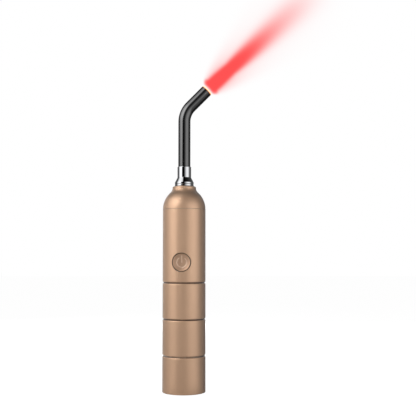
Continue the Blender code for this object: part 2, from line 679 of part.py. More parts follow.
def tail_contacts():
    """The spring, the plate under it and the ring that holds the plate."""
    points = spring_path()
    keep(tube("tail_spring", points, SPRING_WIRE_RADIUS, SPRING_RESOLUTION), spring_steel)
    gap = least_gap(points, SPRING_WIRE_RADIUS, SPRING_POINTS_PER_TURN)
    print(f"tail_spring: least gap to itself {gap / MM:.2f} mm")
    keep(disc("tail_plate", PLATE_RADIUS, PLATE_BASE, PLATE_TOP, INNER_SIDES), brass)
    keep(ring("tail_retainer", PLATE_RADIUS, PLATE_RADIUS - RETAINER_WIDTH, PLATE_TOP + FIT,
              PLATE_TOP + FIT + RETAINER_HEIGHT, INNER_SIDES), bare_metal)


def top_contacts():
    """The round board on the barrel's shoulder, and the contact under it."""
    keep(disc("contact_board", INNER_RADIUS, CONTACT_BOARD_BASE,
              CONTACT_BOARD_BASE + CONTACT_BOARD_THICKNESS, INNER_SIDES), board_green)
    keep(disc("positive_contact", CONTACT_RADIUS, CONTACT_BASE, SHOULDER, SMALL_SIDES,
              CONTACT_EDGE), brass)


# The button, in the button axis's frame

def dish_level(radius):
    """Height of the button's hollow face at a radius from its centre."""
    return DISH_CENTRE - math.sqrt(BUTTON_DISH_RADIUS ** 2 - radius ** 2)


def mark_stroke(name, places):
    """A round-bottomed stroke of the power mark, cut into the hollow face."""
    lift = MARK_STROKE_RADIUS - MARK_DEPTH
    points = [(x, y, dish_level(math.hypot(x, y)) + lift) for x, y in places]
    return tube(name, points, MARK_STROKE_RADIUS, MARK_RESOLUTION)


def power_button():
    """The hollowed button, with its flange inside the handle and its power mark."""
    radii = np.linspace(0.0, DISH_RADIUS, BUTTON_DISH_STEPS)
    profile = [(radius, dish_level(radius)) for radius in radii]
    profile += [
        (BUTTON_RADIUS, RIM_LEVEL - BUTTON_RIM / 2), (BUTTON_RADIUS, FLANGE_LEVEL),
        (FLANGE_RADIUS, FLANGE_LEVEL), (FLANGE_RADIUS, FLANGE_BASE), (0.0, FLANGE_BASE)]
    obj = keep(turned("power_button", profile, INNER_SIDES), etched, button_axis)
    start = math.pi / 2 + MARK_OPENING
    end = math.pi / 2 - MARK_OPENING + math.tau
    mark_ring = mark_stroke(
        "mark_ring", arc((0.0, 0.0), MARK_RADIUS, start, end, MARK_RING_POINTS))
    mark_bar = mark_stroke(
        "mark_bar", [(0.0, height) for height in np.linspace(0.0, MARK_BAR_TOP, MARK_BAR_POINTS)])
    combine(obj, mark_ring, "DIFFERENCE", button_axis)
    combine(obj, mark_bar, "DIFFERENCE", button_axis)


def button_pad():
    """The silicone disc under the button, with the nub that meets the plunger."""
    profile = [
        (0.0, PAD_LEVEL), (PAD_RADIUS, PAD_LEVEL), (PAD_RADIUS, PAD_BASE), (NUB_RADIUS, PAD_BASE),
        (NUB_RADIUS, NUB_BASE), (0.0, NUB_BASE)]
    keep(turned("button_pad", profile, SMALL_SIDES), silicone, button_axis)


def switch():
    """The tactile switch: its housing, and the plunger that the button moves."""
    half = SWITCH_WIDTH / 2
    housing = keep(block("switch_housing", (-half, -half, SWITCH_BASE), (half, half, SWITCH_LEVEL)),
                   black_plastic, button_axis)
    well = disc("switch_well", PLUNGER_RADIUS + FIT, PLUNGER_WELL, SWITCH_LEVEL + OVERRUN, SMALL_SIDES)
    combine(housing, well, "DIFFERENCE", button_axis)
    keep(disc("switch_plunger", PLUNGER_RADIUS, PLUNGER_BASE, PLUNGER_LEVEL, SMALL_SIDES,
              PLUNGER_SEAT / 2), white_plastic, button_axis)


# The control board and its chassis, in the button axis's frame

def drill_screw_holes(obj, base, top):
    for i, (x, y) in enumerate(SCREW_PLACES, start=1):
        hole = disc(f"{obj.name}_hole_{i}", SCREW_HOLE_RADIUS, base, top, SMALL_SIDES)
        hole.location = (x, y, 0.0)
        combine(obj, hole, "DIFFERENCE", button_axis)


def chassis():
    """A half round carrier with an open channel behind the board."""
    obj = keep(disc("chassis", INNER_RADIUS, BAY_FLOOR, CHASSIS_TOP, INNER_SIDES), black_plastic)
    base = -BUTTON_RISE - OVERRUN
    top = CHASSIS_HEIGHT - BUTTON_RISE + OVERRUN
    reach = BODY_RADIUS
    front = block("chassis_front", (-reach, base, CHASSIS_LEVEL), (reach, top, reach))
    combine(obj, front, "DIFFERENCE", button_axis)
    half = INNER_RADIUS - CHASSIS_WALL
    back = CHASSIS_BACK - INNER_RADIUS
    channel = block("chassis_channel", (-half, base, back), (half, top, CHASSIS_LEVEL + OVERRUN))
    combine(obj, channel, "DIFFERENCE", button_axis)
    drill_screw_holes(obj, CHASSIS_LEVEL - SCREW_LENGTH, CHASSIS_LEVEL + OVERRUN)


def control_board():
    """The board behind the button, with its inductor and driver chip."""
    board = keep(block("control_board", (-BOARD_HALF_WIDTH, BOARD_FOOT, BOARD_BACK),
                       (BOARD_HALF_WIDTH, BOARD_TOP, BOARD_LEVEL)), board_green, button_axis)
    drill_screw_holes(board, BOARD_BACK - OVERRUN, BOARD_LEVEL + OVERRUN)
    half = INDUCTOR_WIDTH / 2
    inductor = keep(block(
        "inductor", (-BOARD_PARTS_SPREAD - half, PARTS_TOP - INDUCTOR_WIDTH, PARTS_LEVEL),
        (-BOARD_PARTS_SPREAD + half, PARTS_TOP, PARTS_LEVEL + INDUCTOR_THICKNESS)),
        ferrite, button_axis)
    bevel = inductor.modifiers.new("corners", "BEVEL")
    bevel.width = INDUCTOR_CORNER
    bevel.segments = 1
    bevel.limit_method = "ANGLE"
    half = CHIP_WIDTH / 2
    keep(block("driver_chip", (BOARD_PARTS_SPREAD - half, PARTS_TOP - CHIP_HEIGHT, PARTS_LEVEL),
               (BOARD_PARTS_SPREAD + half, PARTS_TOP, PARTS_LEVEL + CHIP_THICKNESS)),
         black_plastic, button_axis)


def board_screws():
    """The two screws that hold the board to the chassis."""
    head_base = BOARD_LEVEL + FIT
    head_top = head_base + SCREW_HEAD_HEIGHT
    end = CHASSIS_LEVEL + FIT - SCREW_LENGTH
    profile = [
        (0.0, head_top), (SCREW_HEAD_RADIUS, head_top), (SCREW_HEAD_RADIUS, head_base),
        (SCREW_RADIUS, head_base), (SCREW_RADIUS, end), (0.0, end)]
    for i, (x, y) in enumerate(SCREW_PLACES, start=1):
        obj = keep(turned(f"board_screw_{i}", profile, SMALL_SIDES), nickel, button_axis)
        obj.location = (x, y, 0.0)
        half = SCREW_SLOT_WIDTH / 2
        reach = SCREW_HEAD_RADIUS + OVERRUN
        slot = block(f"board_screw_slot_{i}", (-reach, -half, head_top - SCREW_SLOT_DEPTH),
                     (reach, half, head_top + OVERRUN))
        slot.location = (x, y, 0.0)
        combine(obj, slot, "DIFFERENCE", button_axis)


# Leads, in the button axis's frame

def led_lead(name, side, material):
    """A straight lead from the control board up to the LED board."""
    start = BOARD_TOP - LEAD_LAP
    end = LED_BOARD_TOP + LEAD_END - BUTTON_HEIGHT
    points = [(side * LEAD_SPREAD, height, LEAD_LEVEL) for height in (start, end)]
    keep(tube(name, points, LEAD_RADIUS, LEAD_RESOLUTION), material, button_axis)


def drill_lead_holes(obj):
    base = BOARD_TOP - BUTTON_RISE
    top = LED_BASE - BUTTON_HEIGHT + OVERRUN
    for side, label in ((-1, "left"), (1, "right")):
        points = [(side * LEAD_SPREAD, height, LEAD_LEVEL) for height in (base, top)]
        hole = tube(f"{obj.name}_{label}_hole", points, LEAD_RADIUS + FIT, LEAD_RESOLUTION)
        combine(obj, hole, "DIFFERENCE", button_axis)


def battery_lead():
    """A lead from the contact board up to the control board's back, on half a cosine wave."""
    share = np.linspace(0.0, 1.0, BATTERY_LEAD_POINTS)
    near = BOARD_BACK - FIT - LEAD_RADIUS
    depth = -BATTERY_LEAD_DEPTH + (near + BATTERY_LEAD_DEPTH) * (1 - np.cos(math.pi * share)) / 2
    height = -BUTTON_RISE + BATTERY_LEAD_RUN * share
    side = np.full(BATTERY_LEAD_POINTS, -BATTERY_LEAD_SIDE)
    points = np.column_stack([side, height, depth])
    keep(tube("battery_lead", points, LEAD_RADIUS, LEAD_RESOLUTION), red_wire, button_axis)


# The light source

def heat_sink():
    """A metal plug with a rim around the lens holder and a pocket beneath."""
    pocket = INNER_RADIUS - HEATSINK_POCKET_WALL
    pocket_top = HEATSINK_BASE + HEATSINK_POCKET_DEPTH
    profile = [
        (0.0, HEATSINK_TOP), (HEAD_BORE, HEATSINK_TOP), (HEAD_BORE, HEATSINK_RIM_TOP),
        (INNER_RADIUS, HEATSINK_RIM_TOP), (INNER_RADIUS, HEATSINK_BASE), (pocket, HEATSINK_BASE),
        (pocket, pocket_top), (0.0, pocket_top)]
    drill_lead_holes(keep(turned("heat_sink", profile, INNER_SIDES), bare_metal))


def led():
    """The LED's board, and the emitter with its domed top."""
    board = keep(disc("led_board", LED_BOARD_RADIUS, LED_BOARD_BASE, LED_BOARD_TOP, INNER_SIDES),
                 board_white)
    drill_lead_holes(board)
    half = LED_WIDTH / 2
    emitter = keep(block("led_emitter", (-half, -half, LED_BASE), (half, half, LED_TOP)), ceramic)
    profile = arc((0.0, LED_TOP), LED_DOME_RADIUS, math.pi / 2, 0.0, LED_DOME_STEPS)
    profile[0] = (0.0, LED_TOP + LED_DOME_RADIUS)
    dome_base = LED_TOP - LED_THICKNESS / 2
    profile += [(LED_DOME_RADIUS, dome_base), (0.0, dome_base)]
    combine(emitter, turned("led_dome", profile, SMALL_SIDES), "UNION")


def collimator():
    """The lens that gathers the LED's light, and the ring that stands it over the LED."""
    crown_radius = (LENS_RADIUS ** 2 + LENS_CROWN ** 2) / (2 * LENS_CROWN)
    crown_centre = (0.0, LENS_TOP + LENS_CROWN - crown_radius)
    crown_edge = math.acos(LENS_RADIUS / crown_radius)
    profile = arc(crown_centre, crown_radius, math.pi / 2, crown_edge, LENS_CROWN_STEPS)
    profile[0] = (0.0, LENS_TOP + LENS_CROWN)
    profile += [(LENS_RADIUS, LENS_SHOULDER)]
    flare = HOLDER_INNER - FIT - LENS_FOOT_RADIUS
    for share in np.linspace(1.0, 0.0, LENS_CONE_STEPS):
        radius = LENS_FOOT_RADIUS + flare * math.sqrt(share)
        profile.append((radius, LENS_BASE + LENS_CONE_HEIGHT * share))
    recess_top = LENS_BASE + LENS_RECESS_DEPTH
    profile += [(LENS_RECESS_RADIUS, LENS_BASE), (LENS_RECESS_RADIUS, recess_top), (0.0, recess_top)]
    keep(turned("collimator_lens", profile, INNER_SIDES), clear_lens)
    keep(ring("lens_holder", LENS_RADIUS, HOLDER_INNER, LED_BOARD_BASE, LENS_SHOULDER - FIT,
              INNER_SIDES), white_plastic)


# The socket and the light guide

def socket():
    """The window in the head's nose, and the bright ring that the guide plugs into."""
    keep(disc("socket_window", WINDOW_RADIUS, WINDOW_BASE, WINDOW_TOP, SMALL_SIDES), glass)
    profile = [
        (SOCKET_RING_RADIUS, SOCKET_RING_TOP), (SOCKET_RING_RADIUS, SOCKET_RING_BASE),
        (SOCKET_OUTER, SOCKET_RING_BASE), (SOCKET_OUTER, SOCKET_BASE), (SOCKET_BORE, SOCKET_BASE),
        (SOCKET_BORE, SOCKET_RING_TOP)]
    keep(turned("socket_ring", profile, INNER_SIDES), chrome)


def guide_path(start, end):
    """The guide's centre line: up from a height, round the bend, and on by a length."""
    bend = [
        (BEND_RADIUS * (1 - math.cos(angle)), 0.0, BEND_START + BEND_RADIUS * math.sin(angle))
        for angle in np.linspace(0.0, BEND_ANGLE, BEND_STEPS)]
    x, y, z = bend[-1]
    tip = (x + end * math.sin(BEND_ANGLE), y, z + end * math.cos(BEND_ANGLE))
    return [(0.0, 0.0, start), *bend, tip]


def guide_sleeve():
    """The bright sleeve: a tube and cone above the socket, and a grooved plug inside it."""
    profile = [
        (SLEEVE_BORE, SLEEVE_TOP), (SLEEVE_TUBE_RADIUS - SLEEVE_EDGE, SLEEVE_TOP),
        (SLEEVE_TUBE_RADIUS, SLEEVE_TOP - SLEEVE_EDGE), (SLEEVE_TUBE_RADIUS, FLARE_TOP),
        (SOCKET_RING_RADIUS, FLARE_BASE), (SOCKET_RING_RADIUS, SLEEVE_BASE),
        (PLUG_RADIUS, SLEEVE_BASE)]
    profile += seal_groove(PLUG_RADIUS, GUIDE_SEAL_FLOOR, GUIDE_SEAL_HEIGHT, GUIDE_SEAL_WIDTH)
    profile += [(PLUG_RADIUS, PLUG_BASE), (SLEEVE_BORE, PLUG_BASE)]
    keep(turned("guide_sleeve", profile, INNER_SIDES), chrome)
    keep(seal("guide_seal", GUIDE_SEAL_FLOOR, SOCKET_BORE, GUIDE_SEAL_HEIGHT), rubber)


def guide_jacket():
    """The black bent rod, with a thin neck that goes down through the sleeve."""
    obj = keep(tube("guide_jacket", guide_path(JACKET_SHOULDER, JACKET_END), JACKET_RADIUS,
                    GUIDE_RESOLUTION), black_gloss)
    neck = disc("jacket_neck", JACKET_NECK, PLUG_BASE, JACKET_SHOULDER + OVERRUN, SMALL_SIDES)
    combine(obj, neck, "UNION")
    bore = tube("jacket_bore", guide_path(PLUG_BASE - OVERRUN, JACKET_END + OVERRUN), JACKET_BORE,
                GUIDE_RESOLUTION)
    combine(obj, bore, "DIFFERENCE")


def guide_light():
    """The core that carries the light, and the glowing window at the tip."""
    keep(tube("guide_core", guide_path(PLUG_BASE, JACKET_END), CORE_RADIUS, GUIDE_RESOLUTION), fibre)
    window = keep(disc("tip_window", TIP_RADIUS, -TIP_THICKNESS, 0.0, SMALL_SIDES, TIP_EDGE), glowing)
    window.location = guide_path(PLUG_BASE, GUIDE_END)[-1]
    window.rotation_euler = (0.0, BEND_ANGLE, 0.0)


barrel()
head_shell()
tail_cap()
battery()
tail_contacts()
top_contacts()
power_button()
button_pad()
switch()
chassis()
control_board()
board_screws()
led_lead("red_lead", -1, red_wire)
led_lead("black_lead", 1, black_wire)
battery_lead()
heat_sink()
led()
collimator()
socket()
guide_sleeve()
guide_jacket()
guide_light()
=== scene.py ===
"""The looks of a red light therapy wand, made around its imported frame.

The wand stands on its tail, +Z up, with the power button toward -Y and the light
guide bent toward +X. Lengths are in metres.
"""
import functools
import json
import math

import bmesh
import bpy
import numpy as np
from mathutils import Matrix, Vector

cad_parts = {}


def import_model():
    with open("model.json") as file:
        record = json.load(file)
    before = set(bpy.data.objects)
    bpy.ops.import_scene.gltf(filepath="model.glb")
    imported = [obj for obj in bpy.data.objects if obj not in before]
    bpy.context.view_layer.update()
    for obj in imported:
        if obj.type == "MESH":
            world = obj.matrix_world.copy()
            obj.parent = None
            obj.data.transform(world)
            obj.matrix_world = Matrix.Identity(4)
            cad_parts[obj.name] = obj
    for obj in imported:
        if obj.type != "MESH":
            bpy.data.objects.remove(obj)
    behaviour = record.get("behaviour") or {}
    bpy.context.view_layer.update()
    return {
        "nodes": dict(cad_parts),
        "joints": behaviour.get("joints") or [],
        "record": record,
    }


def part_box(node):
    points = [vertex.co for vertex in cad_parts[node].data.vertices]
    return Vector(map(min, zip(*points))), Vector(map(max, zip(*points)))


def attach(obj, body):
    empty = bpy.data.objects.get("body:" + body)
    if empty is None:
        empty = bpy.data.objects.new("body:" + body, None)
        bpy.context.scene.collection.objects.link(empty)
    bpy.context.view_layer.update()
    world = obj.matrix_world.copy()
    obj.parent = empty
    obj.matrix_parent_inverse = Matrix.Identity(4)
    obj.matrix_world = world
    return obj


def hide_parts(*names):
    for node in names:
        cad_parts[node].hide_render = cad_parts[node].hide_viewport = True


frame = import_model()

MM = 0.001


def tint(red, green, blue, level=1.0):
    return (red * level, green * level, blue * level, 1.0)


# The photograph's camera, seen from the front of the wand
CAMERA_DISTANCE = 0.51115
CAMERA_HEIGHT = 0.08416
CAMERA_YAW = math.radians(1.753)
CAMERA_PITCH = math.radians(3.939)
CAMERA_LENS = 67.34


def heights(node):
    """A node's lowest and highest Z."""
    return [corner.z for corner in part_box(node)]


def box_middle(node):
    low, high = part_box(node)
    return (low + high) / 2


# Sizes that the frame gives, and the gap between the solids of neighbours that touch
BODY_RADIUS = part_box("tail_cap")[1].x
CAP_TOP = heights("tail_cap")[1]
SPIGOT_BASE, BARREL_TOP = heights("barrel")
HEAD_SPIGOT_BASE, HEAD_TOP = heights("head_shell")
PLUG_BASE, SLEEVE_TOP = heights("guide_sleeve")
RING_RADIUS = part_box("guide_sleeve")[1].x
SOCKET_BASE, RING_TOP = heights("socket_ring")
CORE_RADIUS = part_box("guide_core")[1].y
JACKET_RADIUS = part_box("guide_jacket")[1].y
CELL_BASE, CELL_TOP = heights("battery_cell")
CELL_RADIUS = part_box("battery_cell")[1].x
CARD_BASE, CARD_TOP = heights("battery_sleeve")
CARD_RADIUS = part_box("battery_sleeve")[1].x
BUTTON_HEIGHT = sum(heights("power_button")) / 2
FIT = 0.3 * MM

# The button's axes: out of the handle, along its surface, and up
PRESS = next(joint for joint in frame["joints"] if joint["name"] == "button_press")
OUT = -np.array(PRESS["axis"], float)
UP = np.array([0.0, 0.0, 1.0])
SIDE = np.cross(UP, OUT)
BUTTON_AZIMUTH = math.atan2(OUT[1], OUT[0])

# Facets: sides of a turned piece, and the longest step along its outline
SIDES = 192
FINE_SIDES = 128
FILLET_STEP = math.radians(11.0)
ARC_STEP = math.radians(3.0)
RUBBER_SKIP = 3
SHARP = math.radians(35.0)
SUPPORT = 0.12 * MM
MERGE = 1e-7

# Grooves around the handle
GROOVE_PITCH = 23.5 * MM
GROOVES = 3
GROOVE_DEPTH = 0.6 * MM
GROOVE_RADIUS = BODY_RADIUS - GROOVE_DEPTH
GROOVE_WIDTH = 1.2 * MM
GROOVE_FLOOR = 0.5 * MM
GROOVE_LIP = 0.9 * MM
GROOVE_CORNER = 0.06 * MM

# Handle
BAY_BORE = 12.2 * MM
BATTERY_BORE = 10.6 * MM
SHOULDER = 74.2 * MM
SEAM = 0.08 * MM
SEAM_EDGE = 0.1 * MM
SEAM_HEIGHT = BARREL_TOP + FIT / 2
# Share of painted shade in the seam's gap
SEAM_SHADE = 0.6
BASE_EDGE = 0.4 * MM
SPIGOT_LEAD = 0.4 * MM

# Tail thread
THREAD_ROOT = 11.9 * MM
THREAD_CREST = 12.45 * MM
THREAD_START = 13.55 * MM
THREAD_PITCH = 2.0 * MM
THREAD_TURNS = 3
THREAD_FIT = 0.2 * MM
THREAD_FOOT = 0.42 * MM
THREAD_TOP = 0.24 * MM
THREAD_RUN_IN = 0.12
THREAD_FADE = 0.1
COLLAR_BASE = 20.35 * MM
ENTRY_BORE = 12.75 * MM
SEAL_FLOOR = 11.5 * MM
SEAL_WIDTH = 1.5 * MM
SEAL_HEIGHT = 22.0 * MM
SEAL_FIT = 0.15 * MM
TAIL_FLOOR = 2.4 * MM
PLATE_POCKET = 10.9 * MM

# Head
HEAD_BASE = BARREL_TOP + FIT
DOME_RADIUS = 15.0 * MM
NECK_FILLET = 4.0 * MM
# Painted shade around the neck under the lip: its middle, its reach up and down, and its share
NECK_HEIGHT = HEAD_TOP - 4.9 * MM
NECK_REACH = 3.7 * MM
NECK_SHADE = 0.42
LIP_RADIUS = 7.7 * MM
LIP_LAND = 0.15 * MM
LIP_ROUND = 0.8 * MM
HEAD_BORE = 10.2 * MM
HEAD_SPIGOT = 11.9 * MM
HEAD_SEAL_FLOOR = 11.0 * MM
HEAD_SEAL_DROP = 3.85 * MM
CAVITY_TOP = 120.2 * MM
THROAT = 122.6 * MM
WINDOW_SEAT = 124.2 * MM
NOSE_BORE = 5.9 * MM
APERTURE = 4.3 * MM

# Power button
BUTTON_RADIUS = 5.75 * MM
HOLE_RADIUS = 6.15 * MM
HOLE_EDGE = 0.18 * MM
BUTTON_RIM = 0.3 * MM
RIM_ROUND = 0.12 * MM
DISH_CURVE = 18.0 * MM
FLANGE_RADIUS = 6.7 * MM
FLANGE_LEVEL = 9.896 * MM
FLANGE_BASE = 9.096 * MM
MARK_RADIUS = 3.15 * MM
MARK_HALF_STROKE = 0.35 * MM
MARK_DEPTH = 0.2 * MM
MARK_BAR_TOP = 4.2 * MM
MARK_OPENING = math.radians(38.0)
MARK_SOFTNESS = 0.3
DISH_RINGS = 120
BUTTON_SIDES = 256
# Painted shade on the button's side, below the top of its rim
BUTTON_SHADE = 0.5

# Wall around the button's hole
PATCH_COLUMNS = 40
PATCH_HALF_HEIGHT = 7.4 * MM
PATCH_RINGS = 7
PATCH_CROWDING = 1.4
PATCH_FIRST = BUTTON_AZIMUTH - PATCH_COLUMNS / 2 * math.tau / SIDES
HOLE_ROWS = 4
# Painted shade inside the button's hole
HOLE_SHADE = 0.65

# Socket and light guide
SOCKET_BORE = 5.0 * MM
SOCKET_OUTER = 5.6 * MM
SOCKET_RING_HEIGHT = 1.0 * MM
RING_GAP = 0.08 * MM
RING_ROUND = 0.2 * MM
PLUG_RADIUS = 4.7 * MM
SLEEVE_BORE = 3.45 * MM
TUBE_RADIUS = 4.5 * MM
TUBE_EDGE = 0.3 * MM
FLARE_BASE = 136.08 * MM
FLARE_TOP = 139.38 * MM
GUIDE_SEAL_FLOOR = 3.95 * MM
GUIDE_SEAL_HEIGHT = 129.1 * MM
GUIDE_SEAL_WIDTH = 1.4 * MM
JACKET_BORE = 2.7 * MM
JACKET_NECK = 3.15 * MM
BEND_START = 176.68 * MM
BEND_RADIUS = 14.4 * MM
BEND_ANGLE = math.radians(44.5)
BEND_END = BEND_START + BEND_RADIUS * BEND_ANGLE
BEND_ROWS = 33
PAST_BEND_ROWS = 24
GUIDE_END = BEND_END + 16.0 * MM
JACKET_END = BEND_END + 15.1 * MM
TIP_RADIUS = 3.9 * MM
TIP_EDGE = 0.3 * MM
TIP_END = GUIDE_END - 0.15 * MM
TIP_RINGS = 10
TIP_HEAT = 0.4
# Length of the painted glow from the tip on the jacket's end
GLOW_REACH = 0.7 * MM

# Cell: the bare end inside the wrap's shrunk rim, and the crimp below the top, as
# depths, distances from the top and fillets
CELL_END = CELL_RADIUS - 1.6 * MM
WRAP = 0.08 * MM
WRAP_ROUND = 0.7 * MM
CRIMP = [(0.0, 3.4 * MM, 0.5 * MM), (0.35 * MM, 2.8 * MM, 0.4 * MM), (0.0, 2.2 * MM, 0.5 * MM)]

# Beam: the cone's wall, then the half widths of the glow's core and halo
BEAM_LENGTH = 125.0 * MM
BEAM_MOUTH = 5.0 * MM
BEAM_FAN = 1.2
BEAM_SHOULDER = 10.0 * MM
BEAM_OPENING = 0.4
BEAM_DENSITY = 2600.0
BEAM_TILT = math.radians(2.3)
BEAM_RED = tint(1.0, 0.088, 0.088)
BEAM_SIDES = 48
BEAM_STEP_RATE = 0.12
CORE_WIDTH = 3.0 * MM
CORE_FOOT = 5.0 * MM
CORE_FOOT_GROWTH = 0.35
CORE_STRAIGHT = 21.0 * MM
CORE_GROWTH = 0.095
HALO_WIDTH = 3.3 * MM
HALO_GROWTH = 0.35
FADE_FROM = 0.6
FADE_TO = 0.98

# Depth through the middle at the tip, the length where it is half, and its power
CORE_FALL = (12.0, 26.9 * MM, 2.9)
HALO_FALL = (1.3, 18.5 * MM, 2.5)

# Where the glow begins and is full, and how much sooner for each metre off the axis
GLOW_START = 1.8 * MM
GLOW_FULL = 6.6 * MM
GLOW_LEAN = 0.45

# Studio: lights around the wand and up, as places in degrees and their levels
SHELL_RADIUS = 0.7
SHELL_HEIGHT = 0.084
SHELL_ROWS = 60
SHELL_STEP = 3.0
RING_ROWS = 30
RING_INNER = 12.0 * MM
RING_LIFT = 0.02 * MM
LEFT_SPREAD = [(8, 0.0), (35, 0.45)]
LEFT_AROUND = [(-102, 0.0), (-84, 0.56), (-66, 0.88), (-46, 0.88), (-37, 0.0)]
LEFT_UP = [(-8, 0.56), (2, 1.0), (24, 2.3), (44, 2.5), (56, 1.3), (70, 0.5), (90, 0.2)]
TOP_AROUND = [(-60, 0.0), (-44, 1.0), (-24, 1.0), (-8, 0.0)]
TOP_UP = [(18, 0.0), (28, 0.45), (38, 0.45), (48, 0.0)]
RIGHT_AROUND = [
    (-2, 0.0), (14, 0.29), (25, 0.66), (38, 1.00), (52, 1.12), (66, 1.05), (80, 0.5),
    (92, 0.08), (98, 0.0)]
RIGHT_UP = [(-8, 0.86), (2, 1.0), (18, 1.0), (36, 0.5), (46, 0.08), (54, 0.0)]
ROOM_AROUND = [
    (-180, 0.6), (-164, 0.45), (-148, 0.15), (-100, 0.1), (-47, 0.1), (-37, 0.0), (0, 0.0),
    (60, 0.06), (96, 0.12), (180, 0.12)]
ROOM_UP = [(0, 1.0), (30, 0.8), (50, 0.25), (90, 0.2)]
REAR_AROUND = [(144, 0.0), (164, 0.2), (180, 0.4)]
REAR_UP = [(0, 1.0), (6, 0.9), (20, 0.0)]
OTHER_LIGHTS = [
    (RIGHT_AROUND, RIGHT_UP), (TOP_AROUND, TOP_UP), (REAR_AROUND, REAR_UP),
    (ROOM_AROUND, ROOM_UP)]
# Levels of the floor ring by reach in metres: low close to the wand, a painted shadow of the wand
# in the floor's reflection
FLOOR_LEVELS = [
    (0.014, 0.05), (0.030, 0.3), (0.060, 0.6), (0.100, 0.6), (0.200, 0.28), (0.400, 0.28),
    (0.700, 1.0)]
FLOOR_SHARE = 0.6
FLOOR_LIFT = 0.94
FLOOR_REACH = 4.0
FLOOR_DROP = 0.05 * MM
SOFT_LIGHT = 0.15
LAMP_DISTANCE = 0.6
LAMP_SIZE = 0.23
LAMP_TARGET = Vector((0.0, 0.0, 0.12))

# Each lamp's name, azimuth and elevation in degrees, and power in watts
LAMPS = [
    ("front_lamp", -20.0, 0.0, 2.2), ("rear_left_lamp", -132.0, 4.0, 1.3),
    ("rear_right_lamp", 172.0, 4.0, 1.6)]


# Nodes

FINISHES = {}


def operator(operation, swapped=False):
    """A method that adds the Math node of an operation, with its values swapped or not."""
    def method(self, other):
        values = (other, self) if swapped else (self, other)
        return self.tree.calc(operation, *values)
    return method


class Wire:
    """An output socket. A sum or product with it adds the Math node that works it out."""

    def __init__(self, tree, socket):
        self.tree = tree
        self.socket = socket

    __add__ = __radd__ = operator("ADD")
    __mul__ = __rmul__ = operator("MULTIPLY")
    __sub__ = operator("SUBTRACT")
    __rsub__ = operator("SUBTRACT", swapped=True)
    __truediv__ = operator("DIVIDE")
    __rtruediv__ = operator("DIVIDE", swapped=True)
    __pow__ = operator("POWER")
    __rpow__ = operator("POWER", swapped=True)


class Tree:
    """A node tree that is built up from each node's kind, settings and inputs."""

    def __init__(self, tree):
        self.tree = tree

    def add(self, kind, settings=None, inputs=None, output=0):
        """A node of any kind: its settings first, then the values or wires of its sockets."""
        node = self.tree.nodes.new(kind)
        for name, value in (settings or {}).items():
            setattr(node, name, value)
        self.feed(node, inputs or {})
        return Wire(self, node.outputs[output]) if node.outputs else node

    def feed(self, node, inputs):
        for name, value in inputs.items():
            if isinstance(value, Wire):
                self.tree.links.new(value.socket, node.inputs[name])
            else:
                node.inputs[name].default_value = value

    def calc(self, operation, *values):
        return self.add("ShaderNodeMath", {"operation": operation}, dict(enumerate(values)))

    def larger(self, first, second):
        return self.calc("MAXIMUM", first, second)

    def vector_calc(self, operation, *vectors, output="Value"):
        return self.add(
            "ShaderNodeVectorMath", {"operation": operation}, dict(enumerate(vectors)), output)

    @functools.cached_property
    def place(self):
        """Where a point is in its object's own coordinates."""
        return self.add("ShaderNodeTexCoord", output="Object")

    def attribute(self, name, output="Fac"):
        return self.add("ShaderNodeAttribute", {"attribute_name": name}, output=output)

    def axis(self, name):
        return self.add("ShaderNodeSeparateXYZ", inputs={0: self.place}, output=name)

    def radius(self):
        """The distance from the object's Z axis."""
        return self.vector_calc("LENGTH", self.stretched((1.0, 1.0, 0.0)))

    def stretched(self, scales):
        return self.add("ShaderNodeMapping", inputs={"Vector": self.place, "Scale": scales})

    def noise(self, scale, detail=2.0):
        return self.add("ShaderNodeTexNoise", inputs={
            "Vector": self.place, "Scale": scale, "Detail": detail})

    def streaks(self, scales, detail=2.0):
        """Noise with a scale for each axis."""
        return self.add("ShaderNodeTexNoise", inputs={
            "Vector": self.stretched(scales), "Scale": 1.0, "Detail": detail})

    def share(self, value, low, high):
        """A smooth step from 0 where the value is at low to 1 where it is at high."""
        return self.add("ShaderNodeMapRange", {"interpolation_type": "SMOOTHSTEP"}, {
            "Value": value, "From Min": low, "From Max": high})

    def blend(self, factor, first, second):
        return self.add(
            "ShaderNodeMix", {"data_type": "RGBA"}, {0: factor, 6: first, 7: second}, 2)

    def bump(self, height, distance):
        return self.add("ShaderNodeBump", inputs={"Height": height, "Distance": distance})


class Finish(Tree):
    """The material of a slot, fed through its Principled shader."""

    def __init__(self, slot, inputs=None):
        material = bpy.data.materials.new(slot)
        material.use_nodes = True
        super().__init__(material.node_tree)
        self.coat(inputs or {})
        FINISHES[slot] = material

    def coat(self, inputs):
        self.feed(self.tree.nodes["Principled BSDF"], inputs)


def bare_tree(owner):
    """The node tree of a new material or world, emptied."""
    owner.use_nodes = True
    tree = Tree(owner.node_tree)
    tree.tree.nodes.clear()
    return tree


# Finishes

def anodised(name, colour, roughness):
    """Bead-blasted and anodised metal: a fine grain over faint turning lines.

    Painted shade darkens it in grooves, gaps and the neck; it is paler in the carved mark.
    The blasted skin turns grey where it is seen edge-on, which is a little sheen.
    """
    finish = Finish(name, {
        "Metallic": ANODISED_METAL, "Coat Weight": 0.2, "Coat Roughness": 0.3,
        "Sheen Weight": 0.5, "Sheen Roughness": 0.4})
    mark = finish.attribute("mark")
    groove = finish.attribute("groove")
    grain = finish.noise(5200.0)
    turning = finish.streaks((60.0, 60.0, 9000.0), 3.0)
    cloud = finish.noise(70.0, 4.0)
    shade = finish.blend(cloud, tint(*colour, 0.965), tint(*colour, 1.035))
    shade = finish.blend(mark, shade, tint(*MARK_COLOUR))
    # Painted shade: the groove attribute darkens the colour in grooves, gaps, the seam and the
    # neck
    shade = finish.blend(groove, shade, tint(*colour, 0.10))
    finish.coat({
        "Base Color": shade,
        "Roughness": roughness - 0.04 + 0.05 * grain + 0.03 * cloud + 0.2 * groove,
        "Normal": finish.bump(grain + 0.6 * turning, 0.003 * MM)})


